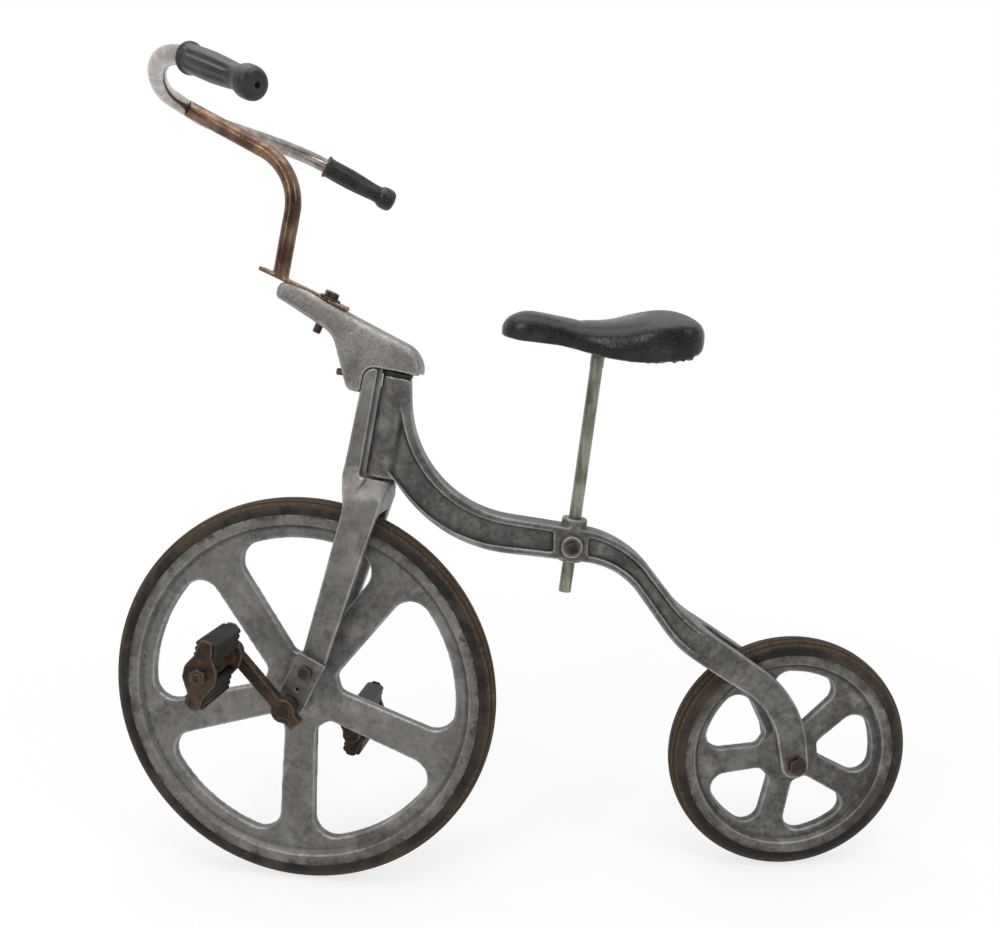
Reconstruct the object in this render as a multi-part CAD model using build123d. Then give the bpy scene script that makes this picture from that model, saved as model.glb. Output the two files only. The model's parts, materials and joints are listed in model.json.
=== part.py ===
"""Child's pavement bicycle with a cast aluminium S-shaped spine and pedals on the front wheel.

Places are in millimetres: x forward from the rear axle, y to the rider's left, z up from the ground.
Every piece is moved at the end so that the origin lies on the saddle, where the rider sits.
"""
from build123d import *
from math import cos, hypot, radians, sin
from typing import NamedTuple
import os

# Running fits and gaps
PIN_FIT = 0.06
SEAT_FIT = 0.02
SIDE_GAP = 0.4
BEARING_GAP = 2.0

# Reach of a cut that goes right through a piece
THROUGH = 600.0

# Wheels
WHEELBASE = 515.0
FRONT_RADIUS = 203.0
REAR_RADIUS = 128.0
TYRE_WIDTH = 26.0
TYRE_HEIGHT = 13.0
RIM_WIDTH = 25.0
RIM_CHANNEL_WIDTH = 19.0
RIM_CHANNEL_DEPTH = 8.0
TYRE_SIDE_GAP = 0.2
TYRE_LIP_GAP = 0.3
WEB_THICKNESS = 11.0
WINDOW_LAND = 2.0
WINDOW_ROUND_AT_RIM = 0.55
WINDOW_ROUND_AT_HUB = 0.3
RIM_BAND = 13.0
RIM_BAND_STEP = 3.0
RIM_BAND_CROWN = 1.2
RIM_LIP = 2.0
SPOKES = 5
FRONT_AXLE_RADIUS = 6.0
REAR_AXLE_RADIUS = 5.0

# Steering head
HEAD_FOOT_X = 431.5
HEAD_FOOT_Z = 430.6
HEAD_RADIUS = 14.4
HEAD_HEIGHT = 101.0
HEAD_CHAMFER = 3.0
HEAD_CHAMFER_DROP = 16.0
RAKE = 10.6
STEER_TURN = 12.0
STEER_LIMIT = 75.0
SWING_CLEARANCE = 5.0
SWING_SPREAD = 46.0
STEER_PIN_RADIUS = 5.0
STEER_PIN_SINK = 14.0

# Spine casting
SPINE_HALF_WIDTH = 14.0
WEB_HALF_WIDTH = 6.5
FLANGE_THICKNESS = 7.0
LEG_OUTER = 32.0
LEG_INNER = 20.5
SLOT_FRONT_X = 98.0
SPREAD_FRONT_X = 158.0
SPREAD_REAR_X = 88.0
RECESS_BAYS = [(60.0, 222.0), (258.0, 460.0)]
RECESS_RAMP_FRONT = 160.0
RECESS_RAMP_REAR = 88.0
RECESS_RAMP_ROUND = 60.0

# Seat post, its boss and its set screw
POST_RADIUS = 6.35
POST_LEAN = 6.7
POST_FOOT_X = 243.6
POST_FOOT_Z = 309.5
POST_LENGTH = 250.0
BOSS_RADIUS = 13.0
BOSS_BOTTOM = 33.0
BOSS_TOP = 78.0
SCREW_X = 239.5
SCREW_Z = 360.0
SCREW_BOSS_RADIUS = 11.5
SCREW_BOSS_FACE = 19.0
SCREW_RADIUS = 4.0
SCREW_HEAD_ACROSS = 11.0
SCREW_HEAD_HEIGHT = 5.0
SCREW_HEAD_TURN = 20.0
SOCKET_RADIUS = 10.0
SOCKET_LENGTH = 22.0
SOCKET_WALL_ABOVE_POST = 4.0
SOCKET_FIT = 0.1

# Height of the rider's seat over the post's top, which is the origin of the finished part
SEAT_RISE = 28.2

# Fork
STRAP_CLEARANCE = 2.8
STRAP_HALF_WIDTH = 13.0
STRAP_RISE = 4.2
STRAP_TOP_AHEAD = 30.6
STRAP_TOP_ROUND = 11.0
STRAP_TOP_GAP = 0.3
STRAP_FOOT_AHEAD = 34.5
CROWN_HALF_WIDTH = 29.0
CROWN_RISE = 9.4
CROWN_DROP = 18.6
CROWN_FRONT = (24.1, -31.6)
CROWN_REAR = (-12.3, -24.8)
CROWN_SEAT = 16.0
FORK_OUTER = 32.0
FORK_INNER = 19.5
WHEEL_ARCH_RADIUS = 210.0
LEG_KNEE_REACH = 54.0
LEG_KNEE_FRONT = 13.5
LEG_KNEE_REAR = 12.5
LEG_TIP_LEAN = 26.7
LEG_TIP_HALF = 13.0

# Bearing caps on the fork's feet
CAP_HALF_WIDTH = 15.0
CAP_REACH = 53.0
CAP_THICKNESS = 7.0
CAP_BOLT_REACH = 37.5
CAP_BOLT_RADIUS = 4.0
CAP_BOLT_ACROSS = 13.0
CAP_BOLT_HEIGHT = 5.0
CAP_BOLT_LENGTH = 12.0
OIL_HOLE_REACH = 17.0
OIL_HOLE_RADIUS = 1.8

# Neck casting over the head
NECK_HALF_WIDTH = 15.0
NECK_ROUND = 5.0
NECK_SEAT_MARGIN = 1.5
NECK_BOLT_RADIUS = 3.5
NECK_BOLT_SINK = 3.0
NECK_BOLT_REACH = 43.8
NECK_BOLT_DROP = 5.5
NECK_BOLT_FALL = 2.0

# Handlebar stem with its flat foot
STEM_RADIUS = 8.0
STEM_BEND = 55.0
STEM_BOW = 70.0
STEM_BOW_SHARE = 0.415
FOOT_AHEAD = 61.5
FOOT_RISE = 52.0
FOOT_SLOPE = 24.4
FOOT_LENGTH = 96.0
FOOT_WIDTH = 15.0
FOOT_THICKNESS = 4.0
CHANNEL_END_GAP = 4.0
STEM_FOOT_REACH = 74.5
CLAMP_REACH = 20.0
CLAMP_RADIUS = 4.0
CLAMP_ACROSS = 13.0
CLAMP_HEAD = 5.5
CLAMP_WASHER_RADIUS = 10.5
CLAMP_WASHER = 1.6
CLAMP_DEPTH = 32.0

# Handlebar and grips
BAR_RADIUS = 7.9
BAR_X = 624.6
BAR_Z = 788.4
BAR_BEND = 85.0
BAR_TILT = 3.1
BAR_TWIST = 1.5
GRIP_LENGTH = 88.0
GRIP_END_WALL = 5.0
GRIP_HOLE_RADIUS = 2.2

# Cranks and pedals
CRANK_LENGTH = 77.0
CRANK_ANGLE = 48.7
CRANK_SLIP = 14.0
CRANK_INSIDE = 49.5
CRANK_THICKNESS = 10.5
CRANK_EYE_RADIUS = 12.0
CRANK_TIP_RADIUS = 9.5
CRANK_HALF_WIDTH = 6.2
LUG_LENGTH = 12.0
LUG_WIDTH = 13.0
LUG_STANDOFF = 2.0
LUG_SLIT = 1.6
COLLAR_RADIUS = 9.5
SPINDLE_RADIUS = 5.0
PEDAL_LEAN = 13.0
PEDAL_INSIDE = 70.0
PEDAL_OUTSIDE = 129.0
PLATE_THICKNESS = 3.0
PLATE_HALF_HEIGHT = 34.0
PEDAL_TUBE_RADIUS = 8.5
BLOCK_OFFSET = 21.0
BLOCK_THICK = 21.0
BLOCK_TALL = 23.0
BLOCK_ROUND = 4.0
GROOVES = 3
GROOVE_PITCH = 5.5
GROOVE_WIDTH = 2.0
GROOVE_DEPTH = 1.6
SPINDLE_NUT_ACROSS = 14.0
SPINDLE_NUT_HEIGHT = 5.5
SPINDLE_END = 1.5

# Rear axle
REAR_BOLT_ACROSS = 17.0
REAR_BOLT_HEAD = 7.0
REAR_STUB = 9.0
REAR_STUB_RADIUS = 4.7


class WheelSize(NamedTuple):
    radius: float
    rim_radius: float
    window_outer: float
    window_inner: float
    spoke_at_hub: float
    spoke_at_rim: float
    hub_radius: float
    hub_half_width: float
    bore_radius: float
    first_spoke: float


FRONT = WheelSize(FRONT_RADIUS, FRONT_RADIUS - TYRE_HEIGHT, 162.0, 41.0, 33.0, 39.0, 19.0, 17.5,
                  FRONT_AXLE_RADIUS + SEAT_FIT, 57.0)
REAR = WheelSize(REAR_RADIUS, REAR_RADIUS - TYRE_HEIGHT, 92.0, 33.0, 25.0, 30.0, 15.0, 18.5,
                 REAR_AXLE_RADIUS + PIN_FIT, 65.0)

RAKE_SIN = sin(radians(RAKE))
RAKE_COS = cos(radians(RAKE))
STEER_AXIS = Axis((HEAD_FOOT_X, 0, HEAD_FOOT_Z), (-RAKE_SIN, 0, RAKE_COS))
FRONT_AXLE = (WHEELBASE, FRONT_RADIUS)
REAR_AXLE = (0.0, REAR_RADIUS)


def head_point(ahead, up):
    """Place measured from the foot of the steering head: ahead of its axis and up along it."""
    return (HEAD_FOOT_X + ahead * RAKE_COS - up * RAKE_SIN, HEAD_FOOT_Z + ahead * RAKE_SIN + up * RAKE_COS)


def head_place(x, z):
    """How far a place lies ahead of the steering axis and up along it."""
    ahead, up = x - HEAD_FOOT_X, z - HEAD_FOOT_Z
    return (ahead * RAKE_COS + up * RAKE_SIN, up * RAKE_COS - ahead * RAKE_SIN)


def outline(corners):
    """Closed face from corners (across, up, radius), each corner rounded to its own radius."""
    points = [(across, up) for across, up, radius in corners]
    return make_face(FilletPolyline(*points, radius=[radius for across, up, radius in corners], close=True))


def inset(corners, amount):
    """Corners of a counter-clockwise outline drawn smaller by an amount on every side."""
    smaller = []
    for index, (across, up, radius) in enumerate(corners):
        here = Vector(across, up)
        before = (here - Vector(*corners[index - 1][:2])).normalized()
        after = (Vector(*corners[(index + 1) % len(corners)][:2]) - here).normalized()
        turn = before.X * after.Y - before.Y * after.X
        shift = (amount / (1 + before.dot(after))) * Vector(-before.Y - after.Y, before.X + after.X)
        place = here + shift
        smaller.append((place.X, place.Y, max(radius - amount, 0) if turn > 0 else radius + amount))
    return smaller


def side_plate(corners, half_width):
    """Plate seen from the side, as thick on both sides of the bicycle's middle plane."""
    return extrude(Plane.XZ * outline(corners), half_width, both=True)


def mirrored(half):
    """Corners of an outline that is the same on both sides of its second axis."""
    return half + [(along, -across, radius) for along, across, radius in reversed(half)]


def rod(start, end, radius):
    """Round bar between two points."""
    way = Vector(end) - Vector(start)
    return Plane(start, z_dir=way) * Cylinder(radius, way.length, align=(Align.CENTER, Align.CENTER, Align.MIN))


def cross_rod(place, radius, inside, outside):
    """Round bar across the bicycle at a side-view place."""
    return rod((place[0], inside, place[1]), (place[0], outside, place[1]), radius)


def hexagon(start, end, across):
    """Hexagonal bar between two points, across its flats."""
    way = Vector(end) - Vector(start)
    return Plane(start, z_dir=way) * extrude(RegularPolygon(across / 2, 6, major_radius=False), way.length)


def bolt(start, end, radius, across, head):
    """Hexagon-headed bolt: its shank starts under the head, which stands on the other side."""
    way = (Vector(end) - Vector(start)).normalized()
    return rod(start, end, radius) + hexagon(start, Vector(start) - way * head, across)


# Spine, from the steering head over the seat boss to the two rear legs
SPINE_TOP = [(398.0, 405.0, 118), (183.0, 369.5, 115)]
SPINE_UNDERSIDE = [(190.8, 339.0, 80), (369.0, 361.0, 150)]
LEG_TOP = (120.5, 288.0)
LEG_UNDERSIDE = (129.0, 253.0)
LEG_HOLLOW_TOP = (72.0, 254.6)
LEG_HOLLOW_UNDERSIDE = (88.0, 226.9)


def spine_outline():
    legs = [(*LEG_TOP, 120), (-2.5, 203.3, 120), (-15.5, 112.0, 13.5), (13.0, 112.0, 13.5), (28.7, 189.0, 80),
            (*LEG_UNDERSIDE, 100)]
    head_rear = [(*head_point(0, HEAD_HEIGHT - 0.5), 0), (*head_point(-HEAD_RADIUS, HEAD_HEIGHT - 0.5), 0)]
    head_foot = [(*head_point(-HEAD_RADIUS, 0.5), 0), (*head_point(0, 0.5), 0)]
    return head_rear + SPINE_TOP + legs + SPINE_UNDERSIDE + head_foot


def recess_outline():
    """Hollow side of the spine, inside its flanges and as far forward as the head."""
    ends = [(*LEG_TOP, 120), (*LEG_HOLLOW_TOP, 12), (*LEG_HOLLOW_UNDERSIDE, 12), (*LEG_UNDERSIDE, 100)]
    front = [head_point(FLANGE_THICKNESS, 12), head_point(FLANGE_THICKNESS, 171)]
    whole = [(*front[1], 0)] + SPINE_TOP + ends + SPINE_UNDERSIDE + [(*front[0], 0)]
    return inset(whole, FLANGE_THICKNESS)


def recess_plan():
    """Plan of one side's hollow: down to the web, and rising to the leg's face where the spine forks."""
    return [(HEAD_FOOT_X, WEB_HALF_WIDTH, 0), (HEAD_FOOT_X, 2 * LEG_OUTER, 0), (RECESS_RAMP_REAR, 2 * LEG_OUTER, 0),
            (RECESS_RAMP_REAR, LEG_OUTER, 0), (RECESS_RAMP_FRONT, WEB_HALF_WIDTH, RECESS_RAMP_ROUND)]


def post_point(up):
    """Place on the seat post's axis, measured up from its lower end."""
    return (POST_FOOT_X - up * sin(radians(POST_LEAN)), 0, POST_FOOT_Z + up * cos(radians(POST_LEAN)))


def frame_spine():
    plan = mirrored([(THROUGH, SPINE_HALF_WIDTH, 0), (SPREAD_FRONT_X, SPINE_HALF_WIDTH, 90),
                     (SPREAD_REAR_X, LEG_OUTER, 60), (-THROUGH, LEG_OUTER, 0)])
    slot = mirrored([(SLOT_FRONT_X, LEG_INNER, LEG_INNER - 1), (-THROUGH, LEG_INNER, 0)])
    spine = side_plate(spine_outline(), LEG_OUTER) & extrude(outline(plan), THROUGH, both=True)
    spine -= extrude(outline(slot), THROUGH, both=True)
    recess = outline(recess_outline())
    hollow = extrude(outline(recess_plan()), THROUGH, both=True)
    for rear, front in RECESS_BAYS:
        bay = Pos((rear + front) / 2, HEAD_FOOT_Z) * Rectangle(front - rear, HEAD_FOOT_Z)
        tool = extrude(Plane.XZ * (recess & bay), 2 * LEG_OUTER, both=True) & hollow
        spine -= tool
        spine -= mirror(tool, Plane.XZ)
    foot = (*head_point(0, 0),)
    top = (*head_point(0, HEAD_HEIGHT),)
    spine += rod((foot[0], 0, foot[1]), (top[0], 0, top[1]), HEAD_RADIUS)
    spine += rod(post_point(BOSS_BOTTOM), post_point(BOSS_TOP), BOSS_RADIUS)
    spine += cross_rod((SCREW_X, SCREW_Z), SCREW_BOSS_RADIUS, 0, SCREW_BOSS_FACE)
    chamfer = [head_point(HEAD_RADIUS, HEAD_HEIGHT - HEAD_CHAMFER_DROP), head_point(2 * HEAD_RADIUS, HEAD_HEIGHT),
               head_point(HEAD_RADIUS - HEAD_CHAMFER, HEAD_HEIGHT)]
    spine -= side_plate([(x, z, 0) for x, z in chamfer], HEAD_RADIUS)
    low, high = head_point(0, -HEAD_RADIUS), head_point(0, HEAD_HEIGHT + HEAD_RADIUS)
    spine -= rod((low[0], 0, low[1]), (high[0], 0, high[1]), STEER_PIN_RADIUS + PIN_FIT)
    spine -= rod(post_point(0), post_point(POST_LENGTH), POST_RADIUS + SEAT_FIT)
    spine -= cross_rod((SCREW_X, SCREW_Z), SCREW_RADIUS + SEAT_FIT, 0, SCREW_BOSS_FACE + 1)
    spine -= cross_rod(REAR_AXLE, REAR_AXLE_RADIUS + SEAT_FIT, -LEG_OUTER - 1, LEG_OUTER + 1)
    return spine


def seat_post():
    return rod(post_point(0), post_point(POST_LENGTH), POST_RADIUS)


def seat_post_screw():
    head = extrude(Plane.XZ * Rectangle(SCREW_HEAD_ACROSS, SCREW_HEAD_ACROSS), -SCREW_HEAD_HEIGHT)
    head = Pos(SCREW_X, SCREW_BOSS_FACE, SCREW_Z) * Rot(0, SCREW_HEAD_TURN, 0) * head
    return head + cross_rod((SCREW_X, SCREW_Z), SCREW_RADIUS, POST_RADIUS + SEAT_FIT, SCREW_BOSS_FACE)


class SaddleSection(NamedTuple):
    ahead: float
    half_width: float
    underside: float
    shoulder: float
    crown: float


# Sections of the saddle from nose to rear, measured from the post's top
SADDLE = [
    SaddleSection(101.0, 12.0, 15.0, 22.0, 27.0), SaddleSection(88.0, 23.0, 11.5, 28.0, 35.5),
    SaddleSection(50.0, 29.0, 5.0, 26.0, 33.0), SaddleSection(6.0, 42.0, -5.5, 14.0, 24.5),
    SaddleSection(-50.0, 68.0, -9.5, 27.0, 41.0), SaddleSection(-84.0, 66.0, -5.0, 28.0, 39.0),
    SaddleSection(-98.0, 46.0, 2.0, 22.0, 29.0),
]


def socket_span():
    top = POST_LENGTH + SOCKET_WALL_ABOVE_POST
    return post_point(top - SOCKET_LENGTH), post_point(top)


def saddle_face(cut):
    """One section across the saddle: flat underside, upright edges and an arched top."""
    left, right = (-cut.half_width, cut.shoulder), (cut.half_width, cut.shoulder)
    edges = Polyline(left, (-cut.half_width, cut.underside), (cut.half_width, cut.underside), right)
    edges += ThreePointArc(right, (0, cut.crown), left)
    return Plane((cut.ahead, 0, 0), x_dir=(0, 1, 0), z_dir=(1, 0, 0)) * make_face(edges)


def saddle():
    start, end = socket_span()
    cover = loft([saddle_face(cut) for cut in SADDLE])
    return Pos(*post_point(POST_LENGTH)) * cover - rod(start, end, SOCKET_RADIUS + SOCKET_FIT)


def saddle_socket():
    start, end = socket_span()
    return rod(start, end, SOCKET_RADIUS) - rod(post_point(0), post_point(POST_LENGTH), POST_RADIUS + SEAT_FIT)


# Fork with the strap that passes in front of the head
def tip_point(reach, aside):
    """Place on the fork's foot, measured up from the front axle and towards the front."""
    lean = radians(LEG_TIP_LEAN)
    return (WHEELBASE - reach * sin(lean) + aside * cos(lean), FRONT_RADIUS + reach * cos(lean) + aside * sin(lean))


STRAP_FACE = HEAD_RADIUS + STRAP_CLEARANCE
STRAP_TOP = HEAD_HEIGHT + STRAP_RISE
STRAP_FOOT = -3.0


def strap_front(up, gap=0):
    """Place on the strap's front face, at a height along the steering axis."""
    share = (STRAP_TOP - up) / (STRAP_TOP - STRAP_FOOT)
    return head_point(STRAP_TOP_AHEAD + share * (STRAP_FOOT_AHEAD - STRAP_TOP_AHEAD) + gap, up)


def swing_room():
    """Room that the spine needs over the crown while the fork turns from lock to lock."""
    ahead, up = head_place(*SPINE_UNDERSIDE[-1][:2])
    bottom = up - SWING_CLEARANCE * hypot(1, up / (HEAD_RADIUS + ahead))
    corners = [(HEAD_RADIUS, -BEARING_GAP), (-ahead, bottom), (-ahead, STRAP_TOP), (HEAD_RADIUS, STRAP_TOP)]
    behind = Plane((HEAD_FOOT_X, 0, HEAD_FOOT_Z), x_dir=(-RAKE_COS, 0, -RAKE_SIN), z_dir=(0, 1, 0))
    section = behind * make_face(Polyline(*corners, close=True))
    half_turn = STEER_LIMIT + SWING_SPREAD
    return revolve(section, STEER_AXIS, 2 * half_turn).rotate(STEER_AXIS, -half_turn)


def fork():
    side = [
        (*head_point(STRAP_FACE, STRAP_TOP), 2), (*strap_front(STRAP_TOP), STRAP_TOP_ROUND),
        (*strap_front(STRAP_FOOT), 30),
        (*head_point(*CROWN_FRONT), 40), (*tip_point(LEG_KNEE_REACH, LEG_KNEE_FRONT), 60),
        (*tip_point(-LEG_TIP_HALF, LEG_TIP_HALF), LEG_TIP_HALF - 0.1),
        (*tip_point(-LEG_TIP_HALF, -LEG_TIP_HALF), LEG_TIP_HALF - 0.1),
        (*tip_point(LEG_KNEE_REACH, -LEG_KNEE_REAR), 60),
        (*head_point(*CROWN_REAR), 30), (*head_point(-CROWN_SEAT, -BEARING_GAP), 3),
        (*head_point(STRAP_FACE, -BEARING_GAP), 4),
    ]
    front = [(STRAP_HALF_WIDTH, HEAD_FOOT_Z + 2 * HEAD_HEIGHT, 0), (STRAP_HALF_WIDTH, HEAD_FOOT_Z + CROWN_RISE, 18),
             (CROWN_HALF_WIDTH, HEAD_FOOT_Z - CROWN_DROP, 25), (FORK_OUTER, 0, 0)]
    front += [(-across, up, radius) for across, up, radius in reversed(front)]
    casting = side_plate(side, FORK_OUTER) & extrude(Plane.YZ * outline(front), 2 * WHEELBASE, both=True)
    casting -= swing_room()
    casting -= cross_rod(FRONT_AXLE, WHEEL_ARCH_RADIUS, -FORK_INNER, FORK_INNER)
    casting -= cross_rod(FRONT_AXLE, FRONT_AXLE_RADIUS + SIDE_GAP, -FORK_OUTER - 1, FORK_OUTER + 1)
    low, high = head_point(0, -STEER_PIN_SINK), head_point(0, HEAD_HEIGHT)
    casting -= rod((low[0], 0, low[1]), (high[0], 0, high[1]), STEER_PIN_RADIUS + SEAT_FIT)
    start, end = neck_bolt_span()
    casting -= rod(start, end, NECK_BOLT_RADIUS + SEAT_FIT)
    casting -= cross_rod(tip_point(CAP_BOLT_REACH, 0), CAP_BOLT_RADIUS + SEAT_FIT, -FORK_OUTER - 1, FORK_OUTER + 1)
    return casting


def steering_pin():
    low, high = head_point(0, -STEER_PIN_SINK), head_point(0, HEAD_HEIGHT + BEARING_GAP + STEER_PIN_SINK)
    return rod((low[0], 0, low[1]), (high[0], 0, high[1]), STEER_PIN_RADIUS)


def bearing_cap(side):
    corners = [
        (*tip_point(CAP_REACH, CAP_HALF_WIDTH), 1.5), (*tip_point(-CAP_HALF_WIDTH, CAP_HALF_WIDTH), 14),
        (*tip_point(-CAP_HALF_WIDTH, -CAP_HALF_WIDTH), 14), (*tip_point(CAP_REACH, -CAP_HALF_WIDTH), 1.5),
    ]
    cap = extrude(Plane.XZ * outline(corners), -CAP_THICKNESS * side)
    cap = Pos(0, FORK_OUTER * side, 0) * cap
    inside, outside = (FORK_OUTER - 1) * side, (FORK_OUTER + CAP_THICKNESS + 1) * side
    cap -= cross_rod(FRONT_AXLE, FRONT_AXLE_RADIUS + PIN_FIT, inside, outside)
    cap -= cross_rod(tip_point(CAP_BOLT_REACH, 0), CAP_BOLT_RADIUS + SEAT_FIT, inside, outside)
    cap -= cross_rod(tip_point(OIL_HOLE_REACH, 0), OIL_HOLE_RADIUS, inside, outside)
    return cap


def bearing_cap_bolt(side):
    x, z = tip_point(CAP_BOLT_REACH, 0)
    face = FORK_OUTER + CAP_THICKNESS
    return bolt((x, face * side, z), (x, (face - CAP_BOLT_LENGTH) * side, z), CAP_BOLT_RADIUS, CAP_BOLT_ACROSS,
                CAP_BOLT_HEIGHT)


# Neck casting and the bolt that ties it to the fork's strap
def neck_bolt_span():
    x0, z0 = head_point(STRAP_FACE + NECK_BOLT_SINK, HEAD_HEIGHT - NECK_BOLT_DROP)
    x1, z1 = head_point(STRAP_FACE + NECK_BOLT_REACH, HEAD_HEIGHT - NECK_BOLT_DROP - NECK_BOLT_FALL)
    return Vector(x0, 0, z0), Vector(x1, 0, z1)


def foot_point(reach, up):
    """Place on the stem's flat foot: forward from its rear end and up from its underside in the neck."""
    x, z = head_point(FOOT_AHEAD, HEAD_HEIGHT + FOOT_RISE)
    slope = radians(FOOT_SLOPE)
    return (x + reach * cos(slope) - up * sin(slope), z + reach * sin(slope) + up * cos(slope))


# Side view of the neck: ahead of the steering axis, above the head's top, corner radius
NECK_UPPER = [(131.5, 53.8, 8), (131.5, 70.8, 8), (100.0, 65.5, 80), (56.0, 50.2, 30), (-23.7, 27.2, 26),
              (-23.7, 5.6, 0)]
NECK_LOBE = [(45.5, -22.5, 9), (68.8, 28.3, 26)]


def neck_rims(casting):
    """Edges of the neck's two sides, apart from those that lie over the head and along the strap."""
    rims = []
    for edge in casting.edges():
        middle = edge.center()
        ahead, up = head_place(middle.X, middle.Z)
        seated = ahead < STRAP_TOP_AHEAD + NECK_SEAT_MARGIN and up < HEAD_HEIGHT + NECK_UPPER[-1][1]
        if abs(middle.Y) > NECK_HALF_WIDTH - SIDE_GAP and not seated:
            rims.append(edge)
    return rims


def neck():
    lobe_foot = HEAD_HEIGHT + NECK_LOBE[0][1]
    side = [(*head_point(ahead, HEAD_HEIGHT + up), radius) for ahead, up, radius in NECK_UPPER]
    side += [(*strap_front(STRAP_TOP + STRAP_TOP_GAP, SEAT_FIT), STRAP_TOP_ROUND),
             (*strap_front(lobe_foot, SEAT_FIT), 0)]
    side += [(*head_point(ahead, HEAD_HEIGHT + up), radius) for ahead, up, radius in NECK_LOBE]
    casting = side_plate(side, NECK_HALF_WIDTH)
    casting = fillet(neck_rims(casting), NECK_ROUND)
    channel = [(*foot_point(-CHANNEL_END_GAP, 0), 0), (*foot_point(-CHANNEL_END_GAP, FOOT_WIDTH), 0),
               (*foot_point(FOOT_LENGTH, FOOT_WIDTH), 0), (*foot_point(FOOT_LENGTH, 0), 0)]
    casting -= side_plate(channel, FOOT_WIDTH / 2 + SIDE_GAP)
    low, high = head_point(0, HEAD_HEIGHT), head_point(0, HEAD_HEIGHT + BEARING_GAP + STEER_PIN_SINK)
    casting -= rod((low[0], 0, low[1]), (high[0], 0, high[1]), STEER_PIN_RADIUS + SEAT_FIT)
    bolt_start, bolt_end = neck_bolt_span()
    casting -= rod(bolt_start, bolt_end, NECK_BOLT_RADIUS + SEAT_FIT)
    low, high = foot_point(CLAMP_REACH, -THROUGH), foot_point(CLAMP_REACH, FOOT_WIDTH)
    casting -= rod((low[0], 0, low[1]), (high[0], 0, high[1]), CLAMP_RADIUS + SEAT_FIT)
    return casting


def neck_bolt():
    start, end = neck_bolt_span()
    return rod(start, end, NECK_BOLT_RADIUS)


# Stem, handlebar and grips
def tilted(shape):
    """The bar sits a little out of true on its stem, left grip high and turned back."""
    level = shape.rotate(Axis((BAR_X, 0, BAR_Z), (1, 0, 0)), BAR_TILT)
    return level.rotate(Axis((BAR_X, 0, BAR_Z), (0, 0, 1)), BAR_TWIST)


def handlebar_stem():
    x, z = foot_point(STEM_FOOT_REACH, FOOT_THICKNESS / 2)
    base, top = Vector(x, 0, z), Vector(BAR_X, 0, BAR_Z)
    back = (top - base).normalized().cross(Vector(0, 1, 0))
    bend = base + (top - base) * STEM_BOW_SHARE + back * STEM_BOW
    path = FilletPolyline(base, bend, top, radius=STEM_BEND)
    stem = sweep(Plane(path @ 0, z_dir=path % 0) * Circle(STEM_RADIUS), path=path)
    corners = [(*foot_point(0, 0), 0), (*foot_point(0, FOOT_THICKNESS), 0),
               (*foot_point(FOOT_LENGTH, FOOT_THICKNESS), 0), (*foot_point(FOOT_LENGTH, 0), 0)]
    foot = side_plate(corners, FOOT_WIDTH / 2)
    under = [(*foot_point(0, 0), 0), (*foot_point(2 * FOOT_LENGTH, 0), 0),
             (*foot_point(2 * FOOT_LENGTH, -FOOT_LENGTH), 0), (*foot_point(0, -FOOT_LENGTH), 0)]
    stem -= side_plate(under, FOOT_LENGTH)
    low, high = foot_point(CLAMP_REACH, -FOOT_THICKNESS), foot_point(CLAMP_REACH, 2 * FOOT_THICKNESS)
    foot -= rod((low[0], 0, low[1]), (high[0], 0, high[1]), CLAMP_RADIUS + SEAT_FIT)
    reach = BAR_SHOULDER[1]
    bar = tilted(rod((BAR_X, -reach, BAR_Z), (BAR_X, reach, BAR_Z), BAR_RADIUS + SEAT_FIT))
    return stem + foot - bar


def stem_clamp_bolt():
    low = foot_point(CLAMP_REACH, -CLAMP_DEPTH)
    high = foot_point(CLAMP_REACH, FOOT_THICKNESS + CLAMP_WASHER)
    return bolt((high[0], 0, high[1]), (low[0], 0, low[1]), CLAMP_RADIUS, CLAMP_ACROSS, CLAMP_HEAD)


def stem_clamp_washer():
    low = foot_point(CLAMP_REACH, FOOT_THICKNESS)
    high = foot_point(CLAMP_REACH, FOOT_THICKNESS + CLAMP_WASHER)
    start, end = (low[0], 0, low[1]), (high[0], 0, high[1])
    return rod(start, end, CLAMP_WASHER_RADIUS) - rod(start, end, CLAMP_RADIUS + SEAT_FIT)


BAR_SHOULDER = (BAR_X, 69.5, BAR_Z + 1.5)
BAR_ELBOW = (BAR_X - 64.8, 167.4, BAR_Z - 5.6)
BAR_END = (BAR_X - 152.8, 216.3, BAR_Z - 48.7)


def handlebar():
    half = [BAR_SHOULDER, BAR_ELBOW, BAR_END]
    points = [(x, -y, z) for x, y, z in reversed(half)] + half
    path = FilletPolyline(*points, radius=BAR_BEND)
    return tilted(sweep(Plane(path @ 0, z_dir=path % 0) * Circle(BAR_RADIUS), path=path))


# Grip section from its inner flange to its bulb: distance along the bar, radius
GRIP_SECTION = [(0, 12.6), (3, 12.6), (4, 11.2), (32, 11.6), (58, 10.0), (68, 9.8), (72, 12.2), (76, 12.8),
                (83, 12.6), (GRIP_LENGTH, 9.5)]


def grip(side):
    end = Vector(BAR_END)
    inward = (Vector(BAR_ELBOW) - end).normalized()
    start = end + inward * (GRIP_LENGTH - GRIP_END_WALL)
    points = [(0, 0)] + [(radius, along) for along, radius in GRIP_SECTION] + [(0, GRIP_LENGTH)]
    body = revolve(Plane.XZ * make_face(Polyline(*points, close=True)), Axis.Z)
    body -= rod((0, 0, 0), (0, 0, GRIP_LENGTH - GRIP_END_WALL), BAR_RADIUS + SEAT_FIT)
    body -= rod((0, 0, 0), (0, 0, GRIP_LENGTH + 1), GRIP_HOLE_RADIUS)
    placed = Plane(start, z_dir=-inward) * body
    if side < 0:
        placed = mirror(placed, Plane.XZ)
    return tilted(placed)


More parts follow.
